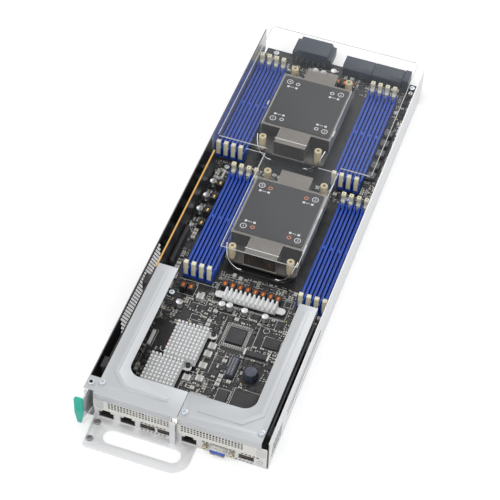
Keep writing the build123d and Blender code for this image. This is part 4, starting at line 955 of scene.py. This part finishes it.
for cpu, (x, y) in sink_places.items():
    base = bar(cpu + "_sink_base", (x - half_sink, y - 57, sink_low), (x + half_sink, y + 57, base_top))
    ease(base, 4, 3, lambda a, b: abs(a.z - b.z) > 2)
    # The base's dark colour is painted shade.
    fitted(break_edges(base, 0.3), shaded_base)
    fins = fin_row(cpu + "_fins", 72.5, -37, 40)
    fins += fin_row(cpu + "_near_fins", 34, -57, -37) + fin_row(cpu + "_far_fins", 34, 40, 57)
    for fin in fins:
        fin.data.transform(Matrix.Translation(Vector((x, y, 0)) * mm))
    fitted(joined(cpu + "_fin_pack", fins), fin_metal, cpu + "_heatsink")
    band = bar(cpu + "_fin_band", (x - 17.2, y - 51.4, sink_top), (x + 17.2, y - 50.6, sink_top + 0.12))
    choose_top(band)
    squeeze(0.98, 0.6, (x, y - 51, sink_top))
    lay_down()
    # A bright strip along the base's near edge is a painted highlight.
    base_edge_highlight = bar(cpu + "_base_edge_highlight", (x - 17, y - 57.3, 17.4), (x + 17, y - 56.8, 18.1))
    cheeks = [band, break_edges(base_edge_highlight, 0.15)]
    for side in (-1, 1):
        flank = x + side * half_sink
        low, high = (flank - 0.25, y - 37, base_top), (flank + 0.25, y + 40, sink_top + 0.1)
        cheek = bar(cpu + "_fin_cheek", low, high)
        cheeks.append(break_edges(cheek, 0.1))
    fitted(joined(cpu + "_fin_cheeks", cheeks), tin)
    plate = bar(cpu + "_label_plate", (x - 34.4, y - 34, sink_top), (x + 34.4, y + 37.4, sink_top + 0.5))
    ease(plate, 2.4, 5, lambda a, b: abs(a.z - b.z) > 0.3)
    fitted(break_edges(plate, 0.12), label_grey)
    marks, accents = [], []
    z = sink_top + 0.56
    for order, (across, along) in enumerate(((-1, -1), (1, 1), (1, -1), (-1, 1))):
        mark_x, mark_y = x + across * 27.5, y + 1.7 + along * 28.0
        marks.append(ring(mark_x, mark_y, z, 3.3, 0.7))
        marks.append(number(str(order + 1), mark_x, mark_y, z, 4.4))
        for shift, half, deep in ((-4.6, 1.3, 2.4), (-1.6, 0.6, 1.0), (0.6, 0.6, 1.0), (4.0, 1.3, 2.4)):
            dash_x, dash_y = mark_x - across * 5.0 + shift, mark_y - along * 7.0
            low, high = (dash_x - half, dash_y - deep / 2, z - 0.04), (dash_x + half, dash_y + deep / 2, z)
            marks.append(bar("printed_dash", low, high))
        accents.append(ring(mark_x - across * 9.0, mark_y - along * 1.0, z, 2.2, 0.8))
    fitted(joined(cpu + "_label_marks", marks), mark_white)
    fitted(joined(cpu + "_label_rings", accents), mark_orange if cpu == "cpu1" else mark_white)


# The heatsink nuts are tan moulded sleeves round steel inserts, with a six-lobed recess. Sprung
# bright wires lean over them from hooks on the bolster plate.
nut_tan = finish("nut_tan", (0.72, 0.61, 0.40), 0.4, 0.0, 0.06, 220.0)
nut_height, recess_depth = 16.7, 3.0
nut = screw("heatsink_nut", 3.7, nut_height, 6)
for corner in nut.data.vertices:
    if corner.co.z < (nut_height - recess_depth) * mm and (corner.co - corner_of_tray).xy.length < 2.6 * mm:
        corner.co.z = (nut_height - recess_depth) * mm
choose_faces(nut, lambda centre, normal: abs(normal.z) < 0.1 and centre.xy.length > 3.4)
split((0, 0, 4.6), (0, 0, 1))
choose_edges(nut, lambda a, b: max(a.z, b.z) < 0.1)
squeeze(0.9, 0.9)
neck = rod("nut_neck", 32, 2.5, 3.0, (0, 0, -1.5))
choose_faces(neck, lambda centre, normal: normal.z < -0.9)
round_off(0.4, 2)
nut = joined("heatsink_nut", [nut, neck])
bright_wire = finish("bright_wire", (0.72, 0.72, 0.71), 0.16, 1.0, 0.05, 200.0)
for cpu, (x, y) in sink_places.items():
    for along, end in ((-1, "near"), (1, "far")):
        wires = []
        for across, side in ((-1, "left"), (1, "right")):
            nut_x, nut_y = x + across * 29.35, y + along * 52.15
            name = cpu + "_nut_" + end + "_" + side
            fitted(copy_to(nut, nut_x, nut_y, 18.3), nut_tan, name, name)
            pivot_x, pivot_y = nut_x - across * 8.0, nut_y + along * 7.6
            route = bpy.data.curves.new("spring_wire", "CURVE")
            route.dimensions = "3D"
            route.bevel_depth = 0.6 * mm
            route.bevel_resolution = 3
            route.resolution_u = 10
            route.use_fill_caps = True
            line = route.splines.new("NURBS")
            points = [(pivot_x - across * 4, pivot_y, 12), (pivot_x - across * 1.2, pivot_y, 12),
                      (pivot_x + across * 0.8, pivot_y, 12.2), (nut_x + across * 1.0, pivot_y, 19.8),
                      (nut_x + across * 4.6, pivot_y - along * 3.6, 28.5),
                      (nut_x + across * 6.3, pivot_y - along * 10.6, 33)]
            line.points.add(len(points) - 1)
            for point, place in zip(line.points, points):
                point.co = (*at(*place), 1.0)
            line.order_u = 3
            line.use_endpoint_u = True
            wire = bpy.data.objects.new("spring_wire", route)
            bpy.context.scene.collection.objects.link(wire)
            take(wire)
            bpy.ops.object.convert(target="MESH")
            wire = bpy.context.object
            bpy.ops.object.shade_smooth()
            wires.append(wire)
        name = cpu + "_wires_" + end
        fitted(joined(name + "_sprung", wires), bright_wire, name, name)
bpy.data.objects.remove(nut)


# Midplane connectors: a slate-coloured power block with a stepped outline and black tails, two
# signal blocks full of thin wafers, and the guide socket beside them.
slate = finish("slate_resin", (0.045, 0.055, 0.08), 0.42, 0.0, 0.06, 90.0, 0.04)
power_block = dressed("power_connector", 0.35, 3)
coat(power_block, slate)
paint(power_block, resin, lambda centre: centre.y < 499.4)
fitted(power_block, None, "power_connector")
fitted(dressed("signal_connectors", 0.25), slate, "signal_connectors")
blades = []
for step in range(6):
    x = 31.0 + (step + 1) * 43.0 / 7
    blades.append(bar("power_blade", (x - 0.5, 513.2, board_top + 3.4), (x + 0.5, 519.6, board_top + 10.4)))
for start in (88.0, 120.6):
    for step in range(12):
        x = start + 3.0 + step * 2.36
        low, high = (x - 0.25, 505.6, board_top + 2.6), (x + 0.25, 510.8, board_top + 9.4)
        blades.append(bar("signal_contact", low, high))
for blade in blades:
    ease(blade, 0.15, 1, lambda a, b: min(a.y, b.y) > 510.7)
fitted(joined("midplane_contacts", blades), gold)


# The I/O panel is a folded strip of the same sheet, punched for the ports and vented with rows of
# small square holes. Behind it stand the network jacks, USB sockets, video port and power button.
jack_places, usb_places, video_x, video_z = (21.0, 41.5, 100.2), (60.6, 77.2, 154.2), 128.8, 9.3
vent_pitch, step_in_panel = 3.6, 107.0
facing = (math.pi / 2, 0, 0)
face = bar("io_panel_face", (9.5, 0, 2.2), (107.6, 0.6, 15.6))
low_face = bar("io_panel_low_face", (107.6, 0, 1.0), (173.3, 0.6, 15.6))
left_tools, right_tools = [], []
for x in jack_places:
    left_tools.append(bar("jack_tool", (x - 7.1, -1, 3.0), (x + 7.1, 2, 11.2)))
    left_tools.append(bar("jack_key_tool", (x - 4.0, -1, 11.0), (x + 4.0, 2, 13.8)))
for x in usb_places:
    tool = bar("usb_tool", (x - 7.4, -1, 4.2), (x + 7.4, 2, 11.4))
    (left_tools if x < step_in_panel else right_tools).append(tool)
video_tool = bar("video_tool", (video_x - 8.65, -1, 4.95), (video_x + 8.65, 2, 13.65))
choose_edges(video_tool, lambda a, b: max(a.z, b.z) < 5)
squeeze(0.82, 1, (video_x, 0, 5))
ease(video_tool, 1.4, 3, lambda a, b: abs(a.y - b.y) > 1)
lay_down()
right_tools.append(video_tool)
for x, z, radius in ((video_x - 12.5, video_z, 2.2), (video_x + 12.5, video_z, 2.2), (167.2, 6.4, 2.75)):
    right_tools.append(rod("round_tool", 24, radius, 3, (x, 0.5, z), facing))
for z, x_start, x_end in ((12.6, 53.5, 81.5), (3.0, 53.5, 81.5), (12.6, 112.0, 146.5),
                          (12.6, 148.5, 170.0), (1.9, 143.0, 163.0)):
    for step in range(int((x_end - x_start) / vent_pitch)):
        x = x_start + (step + 0.5) * vent_pitch
        if x > step_in_panel and z > 12 and abs(x - video_x) < 9.5:
            continue
        size = 0.85 if z < 3.1 else 1.1
        tool = bar("vent_tool", (x - 1.15, -1, z - size), (x + 1.15, 2, z + size))
        (left_tools if x < step_in_panel else right_tools).append(tool)
punch(face, left_tools, True)
punch(low_face, right_tools, True)
top_fold = bar("io_panel_top_fold", (9.5, 0.4, 14.6), (173.3, 6, 15.6))
ease(top_fold, 0.4, 2, lambda a, b: min(a.z, b.z) > 15.5 and max(a.y, b.y) < 0.5)
side_fold = bar("io_panel_side_fold", (172.3, 0.4, 1.0), (173.3, 6, 15.6))
ease(side_fold, 0.3, 2, lambda a, b: abs(a.z - b.z) > 5 and min(a.y, b.y) > 5.9)
panel_zinc = finish("panel_zinc", (0.80, 0.80, 0.79), 0.4, 0.2, 0.03, 80.0, 0.04)
panel = joined("io_panel_sheet", [face, low_face, top_fold, side_fold])
fitted(panel, panel_zinc, "io_panel")

port_steel = finish("port_steel", (0.62, 0.61, 0.58), 0.28, 0.95, 0.04, 160.0)
port_black_and_shade = finish("port_black_and_shade", (0.016, 0.016, 0.018), 0.45, 0.0, 0.1, 200.0)
jacks = dressed("network_jacks", 0.2)
coat(jacks, port_steel)
# Faces inside each jack opening are painted near black: partly the black moulding, partly painted shade.
paint(jacks, port_black_and_shade, lambda centre: centre.y < 14 and 3.0 < centre.z < 13.8
      and min(abs(centre.x - x) for x in jack_places) < 7.8)
fitted(jacks, None, "network_jacks")
pins = []
for x in jack_places:
    for step in range(8):
        middle = x + (step - 3.5) * 1.1
        wire = bar("jack_contact", (middle - 0.25, 2.2, 10.2), (middle + 0.25, 9.0, 10.6))
        choose_faces(wire, lambda centre, normal: normal.y > 0.9)
        move_by(0, 0, -3.2)
        lay_down()
        pins.append(wire)
    for side in (-1, 1):
        lamp = bar("jack_lamp", (x + side * 5.4 - 1.1, 0.7, 11.9), (x + side * 5.4 + 1.1, 1.6, 13.2))
        pins.append(break_edges(lamp, 0.25))
fitted(joined("jack_contacts", pins), gold)

usb = dressed("usb_sockets", 0.15)
coat(usb, port_steel)
# The USB tongue is coloured near black as painted shade in the openings.
tongue = finish("usb_tongue", (0.06, 0.045, 0.03), 0.4, 0.2, 0.1, 200.0)
# Deep faces inside each USB opening are painted near black as shade.
for colour, front, low, high, half in ((tongue, -0.1, 6.9, 9.6, 5.9), (port_black_and_shade, 5, 5.0, 10.6, 6.6)):
    paint(usb, colour, lambda centre: (
        centre.y > front and low < centre.z < high and min(abs(centre.x - x) for x in usb_places) < half))
fitted(usb, None, "usb_sockets")

brass = finish("brass_nut", (0.60, 0.55, 0.45), 0.3, 0.9, 0.06, 200.0)
insert_blue = finish("insert_blue", (0.055, 0.15, 0.75), 0.38, 0.0, 0.04, 100.0)
video = dressed("video_port", 0.2)
coat(video, port_steel)
paint(video, brass, lambda centre: centre.y < 1.0 and abs(centre.x - video_x) > 9.4)
paint(video, insert_blue, lambda centre: (
    -5.4 < centre.y < -4.0 and abs(centre.x - video_x) < 7.4 and abs(centre.z - video_z) < 3.2))
# Faces behind the front of the video port are painted near black as shade.
paint(video, port_black_and_shade, lambda centre: centre.y > 1.5)
fitted(video, None, "video_port")
# The video pin holes are flat dark discs with no hole cut: painted shade.
sockets = []
for row, (count, shift) in enumerate(((5, 0.0), (5, 1.1), (5, 0.0))):
    for step in range(count):
        x = video_x + (step - 2) * 2.2 + shift - 0.4
        pin_hole_shade = rod("pin_hole_shade", 10, 0.48, 0.12, (x, -5.04, video_z + (1 - row) * 1.9), facing)
        choose_faces(pin_hole_shade, lambda centre, normal: normal.y < -0.9)
        inset(0.1)
        lay_down()
        sockets.append(pin_hole_shade)
fitted(joined("video_pin_holes", sockets), port_black_and_shade)

button_white = finish("button_white", (0.72, 0.72, 0.72), 0.38, 0.0, 0.03, 150.0)
cap = rod("button_cap", 36, 2.55, 2.7, (167.2, -0.25, 6.4), facing)
choose_faces(cap, lambda centre, normal: normal.y < -0.9)
inset(0.6)
draw_out(0, 0.35, 0)
break_edges(cap, 0.25, 3)
collar = bar("button_collar", (164.2, 1.1, 3.4), (170.2, 2.3, 9.4))
button = joined("power_button_cap", [cap, break_edges(collar, 0.3)])
fitted(button, button_white, "power_button", "power_button")


# Slot covers are thin coated strips with three rows of twenty square holes and a pale rounded tab at
# the outer end. A folded post between them carries the brackets at the middle of the I/O end.
cover_coat = finish("cover_coat", (0.86, 0.85, 0.80), 0.42, 0.0, 0.02, 60.0, 0.04)
cover_tab = finish("cover_tab", (0.66, 0.66, 0.66), 0.42, 0.2, 0.05, 60.0)
hole_pitch = 2.95
for name, x_start, x_end, first_hole, tab_x in (
    ("left_slot_cover", 9.5, 83.1, 24.5, 10.6),
    ("right_slot_cover", 89.1, 173.7, 94.1, 164.0),
):
    strip = bar(name + "_strip", (x_start, -1.4, 15.9), (x_end, -0.9, 31.1))
    ease(strip, 1.2, 3, lambda a, b: abs(a.y - b.y) > 0.3)
    lay_down()
    holes = []
    for column in range(20):
        for row in range(3):
            x, z = first_hole + column * hole_pitch, 27.9 - row * hole_pitch
            holes.append(bar("square_tool", (x - 0.95, -2, z - 1.05), (x + 0.95, 0, z + 1.05)))
    punch(strip, holes)
    coat(strip, cover_coat)
    # The walls of the square holes are painted dark as shade in the holes.
    paint(strip, hole_wall_shade, lambda centre: (
        -1.36 < centre.y < -0.94 and 17 < centre.z < 30 and first_hole - 2 < centre.x < first_hole + 60))
    lip = bar(name + "_lip", (x_start + 1, -1.0, 15.9), (x_end - 1, 3.6, 16.7))
    ease(lip, 0.3, 2, lambda a, b: min(a.y, b.y) > 3.5 and abs(a.x - b.x) < 1)
    lay_down()
    coat(lip, cover_coat)
    fitted(joined(name + "_sheet", [strip, lip]), None, name)
    tab = bar(name + "_tab", (tab_x, -1.6, 17.6), (tab_x + 8.6, -1.3, 29.4))
    ease(tab, 2.6, 5, lambda a, b: abs(a.y - b.y) > 0.2)
    fitted(tab, cover_tab)
fitted(dressed("centre_post", 0.3, 3), galvanised, "centre_post")


# Riser cards stand along both walls in dark clips with blue feet, each with an edge-card slot on its
# inner side. Only the left card's upper edge shows the gold of the laminate.
card_mask = finish("card_mask", (0.012, 0.012, 0.014), 0.42, 0.0, 0.3, 220.0)
etched(card_mask)
recoat("riser_cards", card_mask)
laminate = finish("laminate_edge", (0.80, 0.47, 0.13), 0.45, 0.1, 0.06, 300.0)
strip = bar("card_edge", (8.15, 155.0, 36.9), (9.85, 316.3, 37.5))
ease(strip, 0.2, 1, lambda a, b: min(a.z, b.z) > 37.4 and abs(a.x - b.x) < 0.1)
fitted(strip, laminate)
clip_dark = finish("clip_dark", (0.022, 0.022, 0.026), 0.4, 0.0, 0.1, 80.0)
clip_blue = finish("clip_blue", (0.02, 0.10, 0.50), 0.4, 0.0, 0.05, 80.0)
riser_slots = dressed("riser_slots", 0.3)
coat(riser_slots, clip_dark)
paint(riser_slots, clip_blue, lambda centre: centre.z < 17)
fitted(riser_slots, None, "riser_slots")


# The riser brackets are two L-shaped plates of galvanised steel with turned edges and a soft raised
# bead, held to the post and the walls by zinc screws.
pale_zinc = finish("pale_bracket", (0.52, 0.535, 0.55), 0.40, 0.75, 0.02, 25.0, 0.04, 500.0)
for name in ("left_riser_bracket", "right_riser_bracket"):
    bracket = dressed(name, 0.28, 3)
    choose_edges(bracket, lambda a, b: min(a.z, b.z) > 40.5)
    move_by(0, 0, 0.5)
    fitted(bracket, pale_zinc, name)
case_screw = screw("case_screw", 3.0, 1.8, 4)
torx_screw = screw("torx_screw", 3.0, 1.8, 6)
bracket_top, handle_top = 40.2, 2.2
heads = [copy_to(case_screw, x, y, z, turn) for x, y, z, turn in (
    (13.8, 10.4, bracket_top, 20), (94.0, 5.5, bracket_top, 50), (164.9, 8.0, bracket_top, 10),
    (15.0, -6.8, handle_top, 30), (15.0, -25.5, handle_top, 75),
)]
dull_zinc = finish("dull_zinc", (0.30, 0.30, 0.31), 0.35, 0.9, 0.08, 200.0)
for order, head in enumerate(heads):
    coat(head, dull_zinc if order > 2 else zinc)
fitted(joined("case_screw_heads", heads), None, "case_screws")
recess_shade = finish("recess_shade", (0.03, 0.03, 0.035), 0.5, 0.5, 0.1, 200.0)
torx_head = copy_to(torx_screw, 4.6, 7.2, bracket_top)
coat(torx_head, zinc)
# The torx recess is painted near black as shade.
paint(torx_head, recess_shade, lambda centre: (centre.xy - Vector((4.6, 7.2))).length < 1.9)
fitted(torx_head, None)
for used in (board_screw, case_screw, torx_screw):
    bpy.data.objects.remove(used)


# The pull handle is a flat steel sheet with a finger slot, rounded at its free end, in a satin
# finish. Two dull screws hold it to the tray.
satin = finish("satin_sheet", (0.84, 0.845, 0.855), 0.38, 0.3, 0.03, 30.0, 0.06, 700.0, 1.0, (1, 12, 1))
fitted(dressed("pull_handle", 0.25, 3), satin, "pull_handle")


# The release latch is a folded steel lever that turns on a pin at the I/O end. Its finger pad is a
# teal moulding with raised ribs.
fitted(dressed("latch_lever", 0.2), galvanised, "latch_lever", "release_latch")
recoat("latch_pivot", zinc)
teal = finish("teal_pad", (0.015, 0.50, 0.38), 0.36, 0.0, 0.05, 120.0, 0.08, 1500.0)
pad = dressed("latch_pad", 0.7, 4)
grips = [pad]
for step in range(6):
    z = 20.0 + step * 2.4
    grips.append(break_edges(bar("pad_rib", (-3.4, -12.35, z), (1.8, -11.7, z + 1.0)), 0.25))
fitted(joined("finger_pad", grips), teal, "latch_pad", "release_latch")


# The air duct is one clear moulding: a roof over the far row, a narrow neck over the near heatsink
# and two walls beside the heatsinks. Pale strips along its cut edges are painted highlights, and small white
# clips hold it.
clear = finish("clear_moulding", (0.70, 0.74, 0.78), 0.06, 0.0, 0.03, 12.0, 0.01, 300.0, 0.028)
clear.node_tree.nodes["Principled BSDF"].inputs["Specular IOR Level"].default_value = 0.25
fitted(dressed("air_duct", 0.12, 1), clear, "air_duct", "air_duct")
edge_highlight_paint = finish("edge_highlight_paint", (0.86, 0.87, 0.88), 0.2, 0.0, 0.1, 90.0, 0.02, 400.0, 0.62)
# Pale strips laid along the duct's cut edges are painted highlights.
edge_highlights = []
for low, high in (
    ((7.8, 333.5, 40.1), (58.0, 334.3, 40.9)), ((135.1, 333.5, 40.1), (165.0, 334.3, 40.9)),
    ((5.75, 335.6, 40.2), (6.5, 504.0, 40.85)), ((166.3, 335.6, 40.2), (167.05, 504.0, 40.85)),
    ((7.8, 505.4, 40.2), (165.0, 506.05, 40.85)), ((57.95, 197.5, 40.2), (58.85, 326.8, 40.9)),
    ((134.3, 197.5, 40.2), (135.2, 326.8, 40.9)), ((58.8, 197.45, 40.2), (134.3, 198.0, 40.85)),
    ((38.0, 326.4, 40.0), (58.4, 327.2, 40.4)), ((114.3, 326.4, 40.0), (134.7, 327.2, 40.4)),
):
    edge_highlights.append(break_edges(bar("duct_edge_highlight", low, high), 0.15))
fitted(joined("duct_edge_highlights", edge_highlights), edge_highlight_paint, body="air_duct")
clip_white = finish("clip_white", (0.74, 0.74, 0.72), 0.35, 0.0, 0.03, 90.0)
clips = []
for x, y, length in ((134.75, 215.0, 12.0), (134.75, 262.0, 14.0), (134.75, 300.0, 10.0),
                     (114.7, 372.0, 9.0), (38.4, 392.0, 6.0)):
    clips.append(break_edges(bar("duct_clip", (x - 0.7, y, 40.6), (x + 0.7, y + length, 41.3)), 0.3))
fitted(joined("duct_clips", clips), clip_white, body="air_duct")
